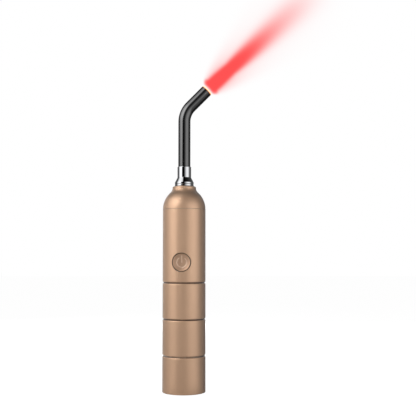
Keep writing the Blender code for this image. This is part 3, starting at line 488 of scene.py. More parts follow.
def chrome():
    """Polished plating, with the faintest wiping marks."""
    finish = Finish("polished_chrome", {"Metallic": 1.0})
    smear = finish.streaks((90.0, 90.0, 260.0), 4.0)
    finish.coat({
        "Base Color": finish.blend(smear, tint(0.72, 0.73, 0.75), tint(0.77, 0.775, 0.79)),
        "Roughness": 0.035 + 0.05 * smear})


def gloss_rod():
    """Black gloss lacquer, with a painted glow from the tip over its last stretch."""
    finish = Finish("black_gloss_rod", {"IOR": 2.3, "Emission Strength": 1.0})
    glow = finish.attribute("glow")
    smear = finish.streaks((120.0, 120.0, 300.0), 4.0)
    finish.coat({
        "Base Color": finish.blend(smear, tint(0.004, 0.004, 0.0045), tint(0.006, 0.006, 0.0065)),
        "Roughness": 0.07 + 0.06 * smear,
        "Emission Color": finish.blend(glow ** 2.0, tint(0, 0, 0), tint(0.52, 0.14, 0.02))})


def lit_tip():
    """The polished end of the light core, hottest on its end face."""
    finish = Finish("glowing_tip", {"Emission Strength": 1.0})
    glow = finish.attribute("glow")
    fibres = finish.noise(9000.0, 1.0)
    hot = finish.blend(glow, tint(0.60, 0.18, 0.03), tint(1.0, 0.92, 0.62))
    finish.coat({
        "Base Color": tint(0.9, 0.5, 0.25), "Emission Color": hot,
        "Roughness": 0.12 + 0.1 * fibres})


def fibre_core():
    """A fused bundle of fibres, seen as fine lines along the rod."""
    finish = Finish("fibre_core", {"Transmission Weight": 0.4, "IOR": 1.5})
    fibres = finish.streaks((7000.0, 7000.0, 60.0), 1.0)
    finish.coat({
        "Base Color": finish.blend(fibres, tint(0.80, 0.70, 0.68), tint(0.92, 0.86, 0.84)),
        "Roughness": 0.14 + 0.12 * fibres})


def moulded(name, colour, roughness, grain_depth=0.01, spread=0.12, sheen=0.0):
    """Moulded plastic or rubber: a fine matt texture and a little unevenness of colour."""
    finish = Finish(name, {"Sheen Weight": sheen})
    grain = finish.noise(3600.0, 2.0)
    cloud = finish.noise(160.0, 4.0)
    finish.coat({
        "Base Color": finish.blend(cloud, tint(*colour, 1 - spread), tint(*colour, 1 + spread)),
        "Roughness": roughness - 0.06 + 0.12 * grain,
        "Normal": finish.bump(grain, grain_depth * MM)})


def clear(name, index, tone):
    """Glass or clear plastic with a polished face and a trace of surface haze."""
    finish = Finish(name, {"Transmission Weight": 1.0, "IOR": index})
    haze = finish.noise(240.0, 4.0)
    finish.coat({
        "Base Color": finish.blend(haze, tint(*tone, 0.98), tint(*tone)),
        "Roughness": 0.015 + 0.03 * haze})


def plated(name, colour, roughness, lines):
    """Plain or plated metal: fine lines along the way that it was cut or drawn."""
    finish = Finish(name, {"Metallic": 1.0})
    cut = finish.streaks(lines)
    cloud = finish.noise(220.0, 4.0)
    finish.coat({
        "Base Color": finish.blend(cloud, tint(*colour, 0.92), tint(*colour, 1.06)),
        "Roughness": roughness - 0.06 + 0.08 * cut + 0.06 * cloud,
        "Normal": finish.bump(cut, 0.004 * MM)})


def turned_aluminium():
    """Bare machined aluminium: rings left by the tool on its faces and sides."""
    finish = Finish("bare_aluminium", {"Metallic": 1.0})
    rings = finish.calc("SINE", (finish.radius() + finish.axis("Z")) * 26000.0)
    cloud = finish.noise(180.0, 3.0)
    finish.coat({
        "Base Color": finish.blend(cloud, tint(0.70, 0.71, 0.72), tint(0.79, 0.80, 0.81)),
        "Roughness": 0.34 + 0.04 * rings + 0.06 * cloud,
        "Normal": finish.bump(rings, 0.002 * MM)})


def circuit_board(name, mask, copper_under, pads):
    """A board: solder mask with tracks that show under it, and bare pads around its holes."""
    finish = Finish(name)
    tracks = finish.add("ShaderNodeTexBrick", {"offset": 0.37}, {
        "Vector": finish.place, "Scale": 330.0, "Mortar Size": 0.06, "Mortar Smooth": 0.4}, "Fac")
    bare = 0.0
    for pad in pads:
        near = finish.vector_calc("DISTANCE", finish.place, pad)
        bare = finish.larger(bare, finish.share(near, 2.0 * MM, 1.85 * MM))
    weave = finish.noise(2600.0, 1.0)
    colour = finish.blend(tracks, tint(*mask), tint(*copper_under))
    finish.coat({
        "Base Color": finish.blend(bare, colour, tint(0.86, 0.66, 0.28)), "Metallic": bare,
        "Roughness": 0.34 + 0.1 * weave, "Normal": finish.bump(tracks + 0.2 * weave, 0.03 * MM)})


def emitter():
    """The LED: a pale ceramic base under a clear red-tinted dome."""
    finish = Finish("led_ceramic", {"IOR": 1.5})
    base = heights("led_emitter")[0]
    dome = finish.share(finish.axis("Z"), base + 0.88 * MM, base + 0.95 * MM)
    grain = finish.noise(5000.0)
    finish.coat({
        "Base Color": finish.blend(dome, tint(0.84, 0.80, 0.68), tint(0.80, 0.20, 0.12)),
        "Roughness": 0.55 - 0.47 * dome + 0.06 * grain,
        "Emission Color": finish.blend(dome, tint(0, 0, 0), tint(0.5, 0.05, 0.03)),
        "Normal": finish.bump((1 - dome) * grain, 0.01 * MM)})


def wire_cover(name, colour, node):
    """A lead's plastic cover, with its two ends stripped and tinned."""
    finish = Finish(name)
    low, high = heights(node)
    height = finish.axis("Z")
    bare = finish.larger(
        finish.share(height, low + 1.05 * MM, low + 1.0 * MM),
        finish.share(height, high - 0.75 * MM, high - 0.7 * MM))
    grain = finish.noise(2500.0)
    finish.coat({
        "Base Color": finish.blend(bare, tint(*colour), tint(0.74, 0.73, 0.70)),
        "Metallic": bare, "Roughness": 0.42 + 0.1 * grain - 0.12 * bare,
        "Normal": finish.bump(grain, 0.006 * MM)})


def cell_wrap():
    """Blue shrink film over the cell, with a welded seam, its ends shrunk over bare metal."""
    finish = Finish("cell_wrap")
    can = finish.share(finish.radius(), CELL_END + 0.05 * MM, CELL_END)
    seam = finish.share(finish.calc("ABSOLUTE", finish.axis("X")), 0.5 * MM, 0.4 * MM)
    band = finish.share(finish.axis("Z"), CELL_TOP - 6.0 * MM, CELL_TOP - 5.9 * MM)
    film = finish.blend(band, tint(0.07, 0.19, 0.45), tint(0.62, 0.66, 0.72))
    film = finish.blend(seam * 0.35, film, tint(0.04, 0.10, 0.26))
    cockle = finish.streaks((500.0, 500.0, 90.0), 3.0)
    finish.coat({
        "Base Color": finish.blend(can, film, tint(0.66, 0.65, 0.63)),
        "Metallic": can, "Roughness": 0.24 + 0.12 * cockle + 0.08 * can,
        "Normal": finish.bump(cockle, 0.03 * MM)})


def fibre_card():
    """Grey insulating card, with short fibres pressed into it."""
    finish = Finish("insulating_sleeve")
    fibres = finish.streaks((900.0, 900.0, 2600.0), 5.0)
    fleck = finish.share(finish.noise(1500.0, 2.0), 0.64, 0.7)
    shade = finish.blend(fibres, tint(0.62, 0.58, 0.50), tint(0.78, 0.74, 0.66))
    finish.coat({
        "Base Color": finish.blend(fleck * 0.5, shade, tint(0.42, 0.36, 0.28)),
        "Roughness": 0.78 + 0.12 * fibres, "Normal": finish.bump(fibres, 0.03 * MM)})


GOLD = (0.80, 0.51, 0.332)
DISH_GOLD = (0.68, 0.43, 0.285)
MARK_COLOUR = (0.88, 0.64, 0.48)
ANODISED_METAL = 0.5

# Where the leads pass the LED board, and where the screws hold the control board
LED_TOP = heights("led_board")[1]
LED_PADS = [(*box_middle(name).xy, LED_TOP) for name in ("red_lead", "black_lead")]
SCREW_PADS = [box_middle(name) for name in ("board_screw_1", "board_screw_2")]

anodised("anodised_shell", GOLD, 0.35)
anodised("anodised_button", DISH_GOLD, 0.34)
chrome()
gloss_rod()
fibre_core()
lit_tip()
moulded("black_rubber", (0.02, 0.02, 0.02), 0.66, sheen=0.1)
clear("window_glass", 1.52, (0.96, 0.98, 0.98))
clear("clear_lens", 1.49, (0.98, 0.98, 0.97))
moulded("white_plastic", (0.78, 0.78, 0.77), 0.42, spread=0.03)
emitter()
circuit_board("led_board_metal", (0.80, 0.80, 0.78), (0.74, 0.74, 0.70), LED_PADS)
turned_aluminium()
wire_cover("red_insulation", (0.60, 0.03, 0.03), "red_lead")
wire_cover("black_insulation", (0.02, 0.02, 0.02), "black_lead")
circuit_board("green_board", (0.02, 0.16, 0.07), (0.05, 0.24, 0.10), SCREW_PADS)
moulded("black_plastic", (0.03, 0.03, 0.035), 0.5)
moulded("grey_ferrite", (0.09, 0.09, 0.10), 0.62, 0.02, 0.3)
plated("nickel_plate", (0.70, 0.69, 0.66), 0.26, (900.0, 900.0, 900.0))
moulded("grey_silicone", (0.25, 0.25, 0.26), 0.6, sheen=0.15)
plated("brass_contact", (0.76, 0.56, 0.26), 0.28, (2200.0, 90.0, 90.0))
plated("spring_steel", (0.58, 0.58, 0.59), 0.24, (600.0, 600.0, 3000.0))
cell_wrap()
fibre_card()


# Surfaces

def unit(vector):
    return vector / np.linalg.norm(vector)


def rounded(corners, closed=False):
    """An outline of (radius, height) through corners of (radius, height) or with a fillet.

    A fillet is an arc that touches both sides at the fillet's radius times the tangent
    of half the turn from its corner. Where there is room, one more point lies beside
    each end of the arc, so that the shading of the long sides stays flat.
    """
    corners = np.array([(*corner, 0.0)[:3] for corner in corners])
    points = []
    for i, (radius, height, fillet) in enumerate(corners):
        here = np.array([radius, height])
        inside = closed or 0 < i < len(corners) - 1
        if fillet == 0 or not inside:
            points.append(here)
            continue
        back = corners[i - 1, :2] - here
        ahead = corners[(i + 1) % len(corners), :2] - here
        turn = math.pi - math.acos(np.clip(unit(back) @ unit(ahead), -1.0, 1.0))
        reach = fillet * math.tan(turn / 2)
        middle = here + unit(unit(back) + unit(ahead)) * fillet / math.cos(turn / 2)
        first = here + unit(back) * reach - middle
        hand = np.sign(ahead[0] * back[1] - ahead[1] * back[0])
        angles = math.atan2(first[1], first[0]) + hand * np.linspace(
            0.0, turn, max(3, math.ceil(turn / FILLET_STEP) + 1))
        curve = middle + fillet * np.column_stack([np.cos(angles), np.sin(angles)])
        if np.linalg.norm(back) > 2 * (reach + SUPPORT):
            points.append(here + unit(back) * (reach + SUPPORT))
        points.extend(curve)
        if np.linalg.norm(ahead) > 2 * (reach + SUPPORT):
            points.append(here + unit(ahead) * (reach + SUPPORT))
    return np.array(points + points[:1] if closed else points)


def arc(centre, radius, start, end):
    """Points of (radius, height) on an arc, a step of ARC_STEP or less apart."""
    angles = np.linspace(start, end, math.ceil(abs(end - start) / ARC_STEP) + 1)
    return np.array(centre) + radius * np.column_stack([np.cos(angles), np.sin(angles)])


def sides(count=FINE_SIDES, first=0.0):
    return first + np.arange(count) * math.tau / count


def joined(x, y, z):
    """Points from their coordinates, spread over one grid."""
    return np.stack(np.broadcast_arrays(x, y, z), axis=-1)


def around(outline, angles):
    """A grid of an outline's points turned about Z: the radius times cosine and sine."""
    radius, height = np.array(outline).T[..., None]
    return joined(radius * np.cos(angles), radius * np.sin(angles), height)


def grid_faces(rows, columns, closed=True):
    """Four-sided faces of a grid: each joins a point, its right neighbour and the two above."""
    corner = np.arange(rows * columns).reshape(rows, columns)
    right = np.roll(corner, -1, axis=1)
    span = columns if closed else columns - 1
    return np.stack([
        corner[:-1, :span], right[:-1, :span], right[1:, :span], corner[1:, :span]], axis=-1)


def open_grid(points):
    """A grid's points, and its faces where it isn't closed around."""
    return points, grid_faces(*points.shape[:2], closed=False)


def turned(corners, closed=False):
    """The grid of an outline's corners, rounded and turned about Z."""
    return around(rounded(corners, closed), sides())


def bent(points):
    """Carry points from around the guide's straight line to around its bent one.

    Past the bend's start, the angle is the length along the line over the bend's
    radius, up to the whole bend, and what is left of the length runs straight on.
    """
    x, y, z = np.moveaxis(np.asarray(points), -1, 0)
    along = z - BEND_START
    angle = np.clip(along / BEND_RADIUS, 0.0, BEND_ANGLE)
    rest = along - BEND_RADIUS * angle
    out = BEND_RADIUS * (1 - np.cos(angle)) + rest * np.sin(angle) + x * np.cos(angle)
    up = BEND_START + BEND_RADIUS * np.sin(angle) + rest * np.cos(angle) - x * np.sin(angle)
    return joined(out, y, up)


def new_mesh(name, grids, attributes=None):
    """One mesh of several grids, welded where they meet.

    A grid is its points, and its faces if it isn't closed around. Attributes are given
    by name, each with one array of values for each grid.
    """
    points, faces, first = [], [], 0
    for grid in grids:
        place, corners = grid if isinstance(grid, tuple) else (grid, grid_faces(*grid.shape[:2]))
        points.append(place.reshape(-1, 3))
        faces.append(corners.reshape(-1, 4) + first)
        first += place.shape[0] * place.shape[1]
    mesh = bpy.data.meshes.new(name)
    mesh.from_pydata(np.vstack(points).tolist(), [], np.vstack(faces).tolist())
    for label, shares in (attributes or {}).items():
        layer = mesh.attributes.new(label, "FLOAT", "POINT")
        values = np.concatenate([np.ravel(share) for share in shares])
        layer.data.foreach_set("value", values.astype(np.float32))
    bm = bmesh.new()
    bm.from_mesh(mesh)
    bmesh.ops.remove_doubles(bm, verts=bm.verts, dist=MERGE)
    bmesh.ops.dissolve_degenerate(bm, edges=bm.edges, dist=MERGE)
    bmesh.ops.recalc_face_normals(bm, faces=bm.faces)
    bm.to_mesh(mesh)
    bm.free()
    mesh.shade_smooth()
    mesh.set_sharp_from_angle(angle=SHARP)
    return mesh


def placed(name, data):
    obj = bpy.data.objects.new(name, data)
    bpy.context.scene.collection.objects.link(obj)
    return obj


def show(name, slot, body, node, grids, attributes=None):
    """A finished piece that rides on a body and stands for its node."""
    mesh = new_mesh(name, grids, attributes)
    mesh.materials.append(FINISHES[slot])
    obj = placed(name, mesh)
    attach(obj, body)
    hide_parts(node)


# Handle

def painted_shade(grids):
    """The groove attribute of each grid: painted shade, darker where little light comes.

    It is the square of the depth below the handle's wall as a share of a groove's depth,
    and it also rises toward the head's seam and the middle of its neck.
    """
    shares = []
    for points in grids:
        height = points[..., 2]
        depth = BODY_RADIUS - np.hypot(points[..., 0], points[..., 1])
        shallow = (height < SEAM_HEIGHT) & (depth < GROOVE_DEPTH + MERGE)
        # Painted shade in the grooves, the seam's gap and around the neck under the lip
        line = np.where(shallow, (depth / GROOVE_DEPTH) ** 2, 0.0)
        beside = np.abs(height - SEAM_HEIGHT) - SEAM / 2
        seam = np.where(depth > MERGE, SEAM_SHADE * (1 - beside / SEAM_EDGE), 0.0)
        neck = NECK_SHADE * (1 - np.abs(height - NECK_HEIGHT) / NECK_REACH)
        shares.append(np.clip(np.maximum.reduce([line, seam, neck]), 0.0, 1.0))
    return {"groove": shares}


def groove(height):
    """Corners of a V groove with a flat floor and softened lips, going down."""
    return [
        (BODY_RADIUS, height + GROOVE_WIDTH / 2, GROOVE_LIP),
        (GROOVE_RADIUS, height + GROOVE_FLOOR / 2, GROOVE_CORNER),
        (GROOVE_RADIUS, height - GROOVE_FLOOR / 2, GROOVE_CORNER),
        (BODY_RADIUS, height - GROOVE_WIDTH / 2, GROOVE_LIP)]


def seal_groove(radius, floor, height, width):
    return [
        (radius, height + width / 2), (floor, height + width / 2),
        (floor, height - width / 2), (radius, height - width / 2)]


def thread_wall(slack, low, high, first, last, angles):
    """A spigot with a helical ridge or, with slack around it, a bore with its groove.

    Each row follows the helix, at the start height plus the pitch times the angle over
    a whole turn, and is held between the low and high ends. The radius is the root and
    slack plus the depth times a trapezium of the distance to the nearest turn's middle,
    faded in after the first turn and out before the last.
    """
    turn = np.append(angles, angles[0] + math.tau) / math.tau
    spare = 2 + abs(turn).max()
    count = np.arange(
        math.floor((low - THREAD_START) / THREAD_PITCH - spare),
        math.ceil((high - THREAD_START) / THREAD_PITCH + spare) + 1)
    foot_half, top_half = THREAD_FOOT + slack, THREAD_TOP + slack
    breaks = np.array([-foot_half, -top_half, top_half, foot_half])
    rows = (count[:, None] * THREAD_PITCH + breaks).ravel()
    height = np.clip(THREAD_START + rows[:, None] + THREAD_PITCH * turn, low, high)
    climb = (height - THREAD_START) / THREAD_PITCH - turn
    offset = (climb - np.round(climb)) * THREAD_PITCH
    ridge = np.clip((foot_half - np.abs(offset)) / (foot_half - top_half), 0.0, 1.0)
    along = (height - offset - THREAD_START) / THREAD_PITCH
    fade_in = np.clip((along - first) / THREAD_FADE, 0.0, 1.0)
    fade_out = np.clip((last - along) / THREAD_FADE, 0.0, 1.0)
    radius = THREAD_ROOT + slack + (THREAD_CREST - THREAD_ROOT) * ridge * fade_in * fade_out
    angle = turn * math.tau
    points = joined(radius * np.cos(angle), radius * np.sin(angle), height)
    moving = (np.ptp(height, axis=1) > 0) | (height[:, 0] > low) & (height[:, 0] < high)
    kept = np.flatnonzero(moving)
    return points[max(kept[0] - 1, 0):kept[-1] + 2]


def on_handle(side, rise, level):
    """Points in the button's axes, carried to the handle."""
    middle = UP * BUTTON_HEIGHT
    return middle + side[..., None] * SIDE + rise[..., None] * UP + level[..., None] * OUT


def hole_wall():
    """The wall around the button's hole, outside, through and inside.

    Each ring runs from a square of the handle's columns and rows to the hole's circle,
    and its level is the root of the wall's radius squared less the side squared.
    """
    step = np.arange(PATCH_COLUMNS) / PATCH_COLUMNS * 2 - 1
    ones = np.ones(PATCH_COLUMNS)
    across = np.concatenate([step, ones, -step, -ones]) * math.pi * PATCH_COLUMNS / SIDES
    rise = np.concatenate([-ones, step, ones, -step]) * PATCH_HALF_HEIGHT
    circle = np.arctan2(rise, BODY_RADIUS * np.sin(across))

    def level(radius, side):
        return np.sqrt(radius ** 2 - side ** 2)

    def rings(radius, hole, shares):
        side = hole * np.cos(circle) * (1 - shares) + radius * np.sin(across) * shares
        height = hole * np.sin(circle) * (1 - shares) + rise * shares
        return on_handle(side, height, level(radius, side))

    shares = np.linspace(1.0, 0.0, PATCH_RINGS)[:, None] ** PATCH_CROWDING
    outside = rings(BODY_RADIUS, HOLE_RADIUS + HOLE_EDGE, shares)
    turn = np.linspace(0.0, math.pi / 2, HOLE_ROWS + 1)[1:, None]
    hole = HOLE_RADIUS + HOLE_EDGE * (1 - np.sin(turn))
    side = hole * np.cos(circle)
    drop = HOLE_EDGE * (1 - np.cos(turn))
    edge = on_handle(side, hole * np.sin(circle), level(BODY_RADIUS, side) - drop)
    inside = rings(BAY_BORE, HOLE_RADIUS, shares[::-1])
    return np.concatenate([outside, edge, inside])


def barrel():
    """The long turned tube, with its grooves, spigot and thread, and the button's hole."""
    top = SEAM_HEIGHT - SEAM / 2
    rise = np.linspace(PATCH_HALF_HEIGHT, -PATCH_HALF_HEIGHT, PATCH_COLUMNS + 1)
    window = rise + BUTTON_HEIGHT
    base = GROOVE_PITCH + FIT / 2
    corners = [(THREAD_ROOT, COLLAR_BASE), (THREAD_CREST, COLLAR_BASE)]
    corners += seal_groove(THREAD_CREST, SEAL_FLOOR, SEAL_HEIGHT, SEAL_WIDTH)[::-1]
    corners += [(THREAD_CREST, base), (GROOVE_RADIUS, base)]
    corners += groove(GROOVE_PITCH)[1::-1]
    for i in range(2, GROOVES + 1):
        corners += groove(i * GROOVE_PITCH)[::-1]
    corners += [(BODY_RADIUS, height) for height in window[::-1]]
    corners += [(BODY_RADIUS, top, SEAM_EDGE), (BAY_BORE, top, SEAM_EDGE)]
    corners += [(BAY_BORE, height) for height in window]
    corners += [
        (BAY_BORE, SHOULDER), (BATTERY_BORE, SHOULDER), (BATTERY_BORE, SPIGOT_BASE),
        (THREAD_ROOT - SPIGOT_LEAD, SPIGOT_BASE), (THREAD_ROOT, SPIGOT_BASE + SPIGOT_LEAD)]
    angles = sides(SIDES, PATCH_FIRST)
    wall = around(rounded(corners), angles)
    faces = grid_faces(*wall.shape[:2])
    middle = (wall[:-1, 0, 2] + wall[1:, 0, 2]) / 2
    beside = np.abs(middle - BUTTON_HEIGHT) < PATCH_HALF_HEIGHT
    cut = beside[:, None] & (np.arange(SIDES) < PATCH_COLUMNS)
    thread = thread_wall(
        0.0, SPIGOT_BASE + SPIGOT_LEAD, COLLAR_BASE, THREAD_RUN_IN, THREAD_TURNS, angles)
    hole = hole_wall()
    shade = painted_shade([wall, thread, hole])
    # From the third row of its edge inward, the hole takes an even painted shade
    shade["groove"][2][PATCH_RINGS + 2:] = HOLE_SHADE
    show("turned_barrel", "anodised_shell", "handle", "barrel", [
        (wall, faces[~cut]), open_grid(thread), hole], shade)


def head():
    """The dome, neck and lip, over the spigot that fits the barrel."""
    seam = SEAM_HEIGHT + SEAM / 2
    centre = BODY_RADIUS - DOME_RADIUS
    meet = math.acos((LIP_RADIUS + NECK_FILLET - centre) / (DOME_RADIUS + NECK_FILLET))
    neck_top = HEAD_BASE + (DOME_RADIUS + NECK_FILLET) * math.sin(meet)
    seal = seal_groove(HEAD_SPIGOT, HEAD_SEAL_FLOOR, HEAD_BASE - HEAD_SEAL_DROP, SEAL_WIDTH)
    outline = np.vstack([
        rounded([(HEAD_SPIGOT, seam), (BODY_RADIUS, seam, SEAM_EDGE), (BODY_RADIUS, HEAD_BASE)]),
        arc((centre, HEAD_BASE), DOME_RADIUS, 0.0, meet)[1:],
        arc((LIP_RADIUS + NECK_FILLET, neck_top), NECK_FILLET, math.pi + meet, math.pi)[1:],
        rounded([
            (LIP_RADIUS, neck_top + LIP_LAND / 2), (LIP_RADIUS, HEAD_TOP, LIP_ROUND),
            (NOSE_BORE, HEAD_TOP, SEAM_EDGE), (NOSE_BORE, WINDOW_SEAT),
            (APERTURE, WINDOW_SEAT), (APERTURE, THROAT), (HEAD_BORE, CAVITY_TOP),
            (HEAD_BORE, HEAD_SPIGOT_BASE), (HEAD_SPIGOT, HEAD_SPIGOT_BASE, SEAM_EDGE),
            *seal[::-1], (HEAD_SPIGOT, seam)])])
    shell = around(outline, sides(SIDES))
    show("turned_head", "anodised_shell", "handle", "head_shell", [shell], painted_shade([shell]))


def tail_cap():
    """The threaded cup at the base, with the groove's lower half at its mouth."""
    entry = COLLAR_BASE - FIT
    pocket_top = SPIGOT_BASE - FIT
    angles = sides(SIDES, PATCH_FIRST)
    thread = thread_wall(THREAD_FIT, pocket_top, entry, 0.0, math.inf, angles)
    outside = around(rounded([
        (ENTRY_BORE, entry), (ENTRY_BORE, CAP_TOP), (GROOVE_RADIUS, CAP_TOP),
        *groove(GROOVE_PITCH)[2:], (BODY_RADIUS, 0.0, BASE_EDGE), (0.0, 0.0)]), angles)
    inside = around(rounded([
        (0.0, TAIL_FLOOR), (PLATE_POCKET, TAIL_FLOOR, SEAM_EDGE), (PLATE_POCKET, pocket_top),
        (THREAD_ROOT + THREAD_FIT, pocket_top)]), angles)
    ledge = np.stack([thread[-1, :-1], outside[0]])
    show("turned_tail_cap", "anodised_shell", "tail", "tail_cap", [
        outside, inside, ledge, open_grid(thread)], painted_shade([outside, inside, ledge, thread]))


def seals():
    """Round rubber rings, each between its groove's floor and the bore around it."""
    for name, body, floor, bore, height in (
            ("tail", "handle", SEAL_FLOOR, ENTRY_BORE, SEAL_HEIGHT),
            ("head", "handle", HEAD_SEAL_FLOOR, BAY_BORE, HEAD_BASE - HEAD_SEAL_DROP),
            ("guide", "guide_ring", GUIDE_SEAL_FLOOR, SOCKET_BORE, GUIDE_SEAL_HEIGHT)):
        section = (bore - floor) / 2 - SEAL_FIT
        outline = arc((floor + SEAL_FIT + section, height), section, 0.0, math.tau)
        show(name + "_rubber", "black_rubber", body, name + "_seal", [
            around(outline[::RUBBER_SKIP], sides())])


# Power button

def stroke_distance(side, rise):
    """Distance to the power mark's middle line: an open ring, and a bar up from the centre."""
    radius = np.hypot(side, rise)
    from_top = np.abs(np.arctan2(side, rise))
    end = MARK_RADIUS * np.array([math.sin(MARK_OPENING), math.cos(MARK_OPENING)])
    to_end = np.hypot(np.abs(side) - end[0], rise - end[1])
    ring = np.where(from_top > MARK_OPENING, np.abs(radius - MARK_RADIUS), to_end)
    bar = np.hypot(side, rise - np.clip(rise, 0.0, MARK_BAR_TOP))
    return np.minimum(ring, bar)


def power_button():
    """The dished cap with its carved power mark, and the flange that holds it in.

    The dish's level is its centre less the root of its radius squared less the distance
    from the middle squared. The mark is carved round: its depth times the root of one
    less the squared share of the half stroke.
    """
    rim_level = math.sqrt(BODY_RADIUS ** 2 - BUTTON_RADIUS ** 2)
    dish_edge = BUTTON_RADIUS - BUTTON_RIM
    centre = rim_level + math.sqrt(DISH_CURVE ** 2 - dish_edge ** 2)
    radius = np.linspace(0.0, dish_edge, DISH_RINGS)[:, None]
    angles = sides(BUTTON_SIDES)
    side, rise = radius * np.cos(angles), radius * np.sin(angles)
    share = stroke_distance(side, rise) / MARK_HALF_STROKE
    depth = MARK_DEPTH * np.sqrt(np.clip(1 - share ** 2, 0.0, 1.0))
    face = on_handle(side, rise, centre - np.sqrt(DISH_CURVE ** 2 - radius ** 2) - depth)
    body = around(rounded([
        (dish_edge, rim_level), (BUTTON_RADIUS, rim_level - BUTTON_RIM / 2, RIM_ROUND),
        (BUTTON_RADIUS, FLANGE_LEVEL), (FLANGE_RADIUS, FLANGE_LEVEL),
        (FLANGE_RADIUS, FLANGE_BASE), (0.0, FLANGE_BASE)]), angles)
    body = on_handle(*np.moveaxis(body, -1, 0))
    marked = np.clip((1 - share) / MARK_SOFTNESS + 0.5, 0.0, 1.0)
    # Painted shade on the button's side and flange, all but the top row of its rim
    painted_rim_shade = np.full(body.shape[:2], BUTTON_SHADE)
    painted_rim_shade[0] = 0.0
    show("dished_button", "anodised_button", "button", "power_button", [face, body], {
        "mark": [marked, np.zeros_like(painted_rim_shade)], "groove": [np.zeros_like(marked), painted_rim_shade]})


# Socket and light guide

def socket():
    """The bright ring on the head's lip, with its tube down into the nose."""
    top = RING_TOP + (FIT - RING_GAP) / 2
    base = RING_TOP - SOCKET_RING_HEIGHT - FIT / 2
    show("polished_socket_ring", "polished_chrome", "handle", "socket_ring", [turned([
        (RING_RADIUS, top, RING_ROUND), (RING_RADIUS, base, RING_ROUND), (SOCKET_OUTER, base),
        (SOCKET_OUTER, SOCKET_BASE), (SOCKET_BORE, SOCKET_BASE), (SOCKET_BORE, top)],
        closed=True)])


def sleeve():
    """The polished sleeve: a tube, a cone and a land, over the grooved plug."""
    base = RING_TOP + (FIT + RING_GAP) / 2
    seal = seal_groove(PLUG_RADIUS, GUIDE_SEAL_FLOOR, GUIDE_SEAL_HEIGHT, GUIDE_SEAL_WIDTH)
    show("polished_sleeve", "polished_chrome", "light_guide", "guide_sleeve", [turned([
        (SLEEVE_BORE, SLEEVE_TOP), (TUBE_RADIUS, SLEEVE_TOP, TUBE_EDGE),
        (TUBE_RADIUS, FLARE_TOP, RING_ROUND), (RING_RADIUS, FLARE_BASE, RING_ROUND),
        (RING_RADIUS, base, RING_ROUND), (PLUG_RADIUS, base), *seal,
        (PLUG_RADIUS, PLUG_BASE), (SLEEVE_BORE, PLUG_BASE)], closed=True)])


def along_guide(radius, low):
    """Corners of a wall from low up to the jacket's end, close together on the bend."""
    heights = np.concatenate([
        [low], np.linspace(BEND_START, BEND_END, BEND_ROWS),
        np.linspace(BEND_END, JACKET_END, PAST_BEND_ROWS)[1:-1]])
    return [(radius, height) for height in heights]


def guide():
    """The black jacket, the core that carries the light, and the glowing end face."""
    shoulder = SLEEVE_TOP + RING_GAP
    wall = along_guide(JACKET_RADIUS, shoulder + 2 * RING_ROUND)
    bore = along_guide(JACKET_BORE, PLUG_BASE)
    points = turned([
        (JACKET_NECK, PLUG_BASE), (JACKET_NECK, shoulder),
        (JACKET_RADIUS, shoulder, RING_ROUND), *wall, (JACKET_RADIUS, JACKET_END, SEAM_EDGE),
        (JACKET_BORE, JACKET_END), *bore[::-1]], closed=True)
    # Painted glow: the jacket's end emits the tip's light
    glow = np.clip(1 - (JACKET_END - points[..., 2]) / GLOW_REACH, 0.0, 1.0)
    show("bent_jacket", "black_gloss_rod", "light_guide", "guide_jacket", [
        bent(points)], {"glow": [glow]})

    show("light_core", "fibre_core", "light_guide", "guide_core", [bent(turned([
        (0.0, PLUG_BASE), *along_guide(CORE_RADIUS, PLUG_BASE),
        (CORE_RADIUS, JACKET_END), (0.0, JACKET_END)]))])

    base = JACKET_END + RING_GAP
    points = turned([
        (0.0, base), (TIP_RADIUS, base, TIP_EDGE / 2), (TIP_RADIUS, TIP_END, TIP_EDGE),
        *[(TIP_RADIUS * share, TIP_END) for share in np.arange(TIP_RINGS)[::-1] / TIP_RINGS]])
    glow = np.clip((points[..., 2] - base) / (TIP_END - base), 0.0, 1.0) ** TIP_HEAT
    show("lit_tip", "glowing_tip", "light_guide", "tip_window", [bent(points)], {"glow": [glow]})


# Battery

def battery():
    """The cell with the wrap's shrunk ends, and the card sleeve around it."""
    crimp = [(CELL_RADIUS - depth, CELL_TOP - drop, fillet) for depth, drop, fillet in CRIMP]
    show("wrapped_cell", "cell_wrap", "battery", "battery_cell", [turned([
        (0.0, CELL_BASE), (CELL_END, CELL_BASE), (CELL_END, CELL_BASE + WRAP),
        (CELL_RADIUS, CELL_BASE + WRAP, WRAP_ROUND), *crimp,
        (CELL_RADIUS, CELL_TOP - WRAP, WRAP_ROUND), (CELL_END, CELL_TOP - WRAP),
        (CELL_END, CELL_TOP), (0.0, CELL_TOP)])])

    bore = CELL_RADIUS + FIT
    show("card_sleeve", "insulating_sleeve", "handle", "battery_sleeve", [turned([
        (CARD_RADIUS, CARD_TOP, SEAM_EDGE), (CARD_RADIUS, CARD_BASE, SEAM_EDGE),
        (bore, CARD_BASE, SEAM_EDGE), (bore, CARD_TOP, SEAM_EDGE)], closed=True)])


# Studio

def stage(name, material, body, grids, attributes=None, hidden_from=()):
    """A piece of the studio that rides on a body, hidden from some kinds of rays."""
    mesh = new_mesh(name, grids, attributes)
    mesh.materials.append(material)
    obj = placed(name, mesh)
    for rays in hidden_from:
        setattr(obj, "visible_" + rays, False)
    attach(obj, body)


def backdrop_rays(tree):
    """1 for rays that see the white background: from the camera, or off metal or glass."""
    return functools.reduce(tree.larger, [
        tree.add("ShaderNodeLightPath", output=kind)
        for kind in ("Is Camera Ray", "Is Glossy Ray", "Is Transmission Ray")])


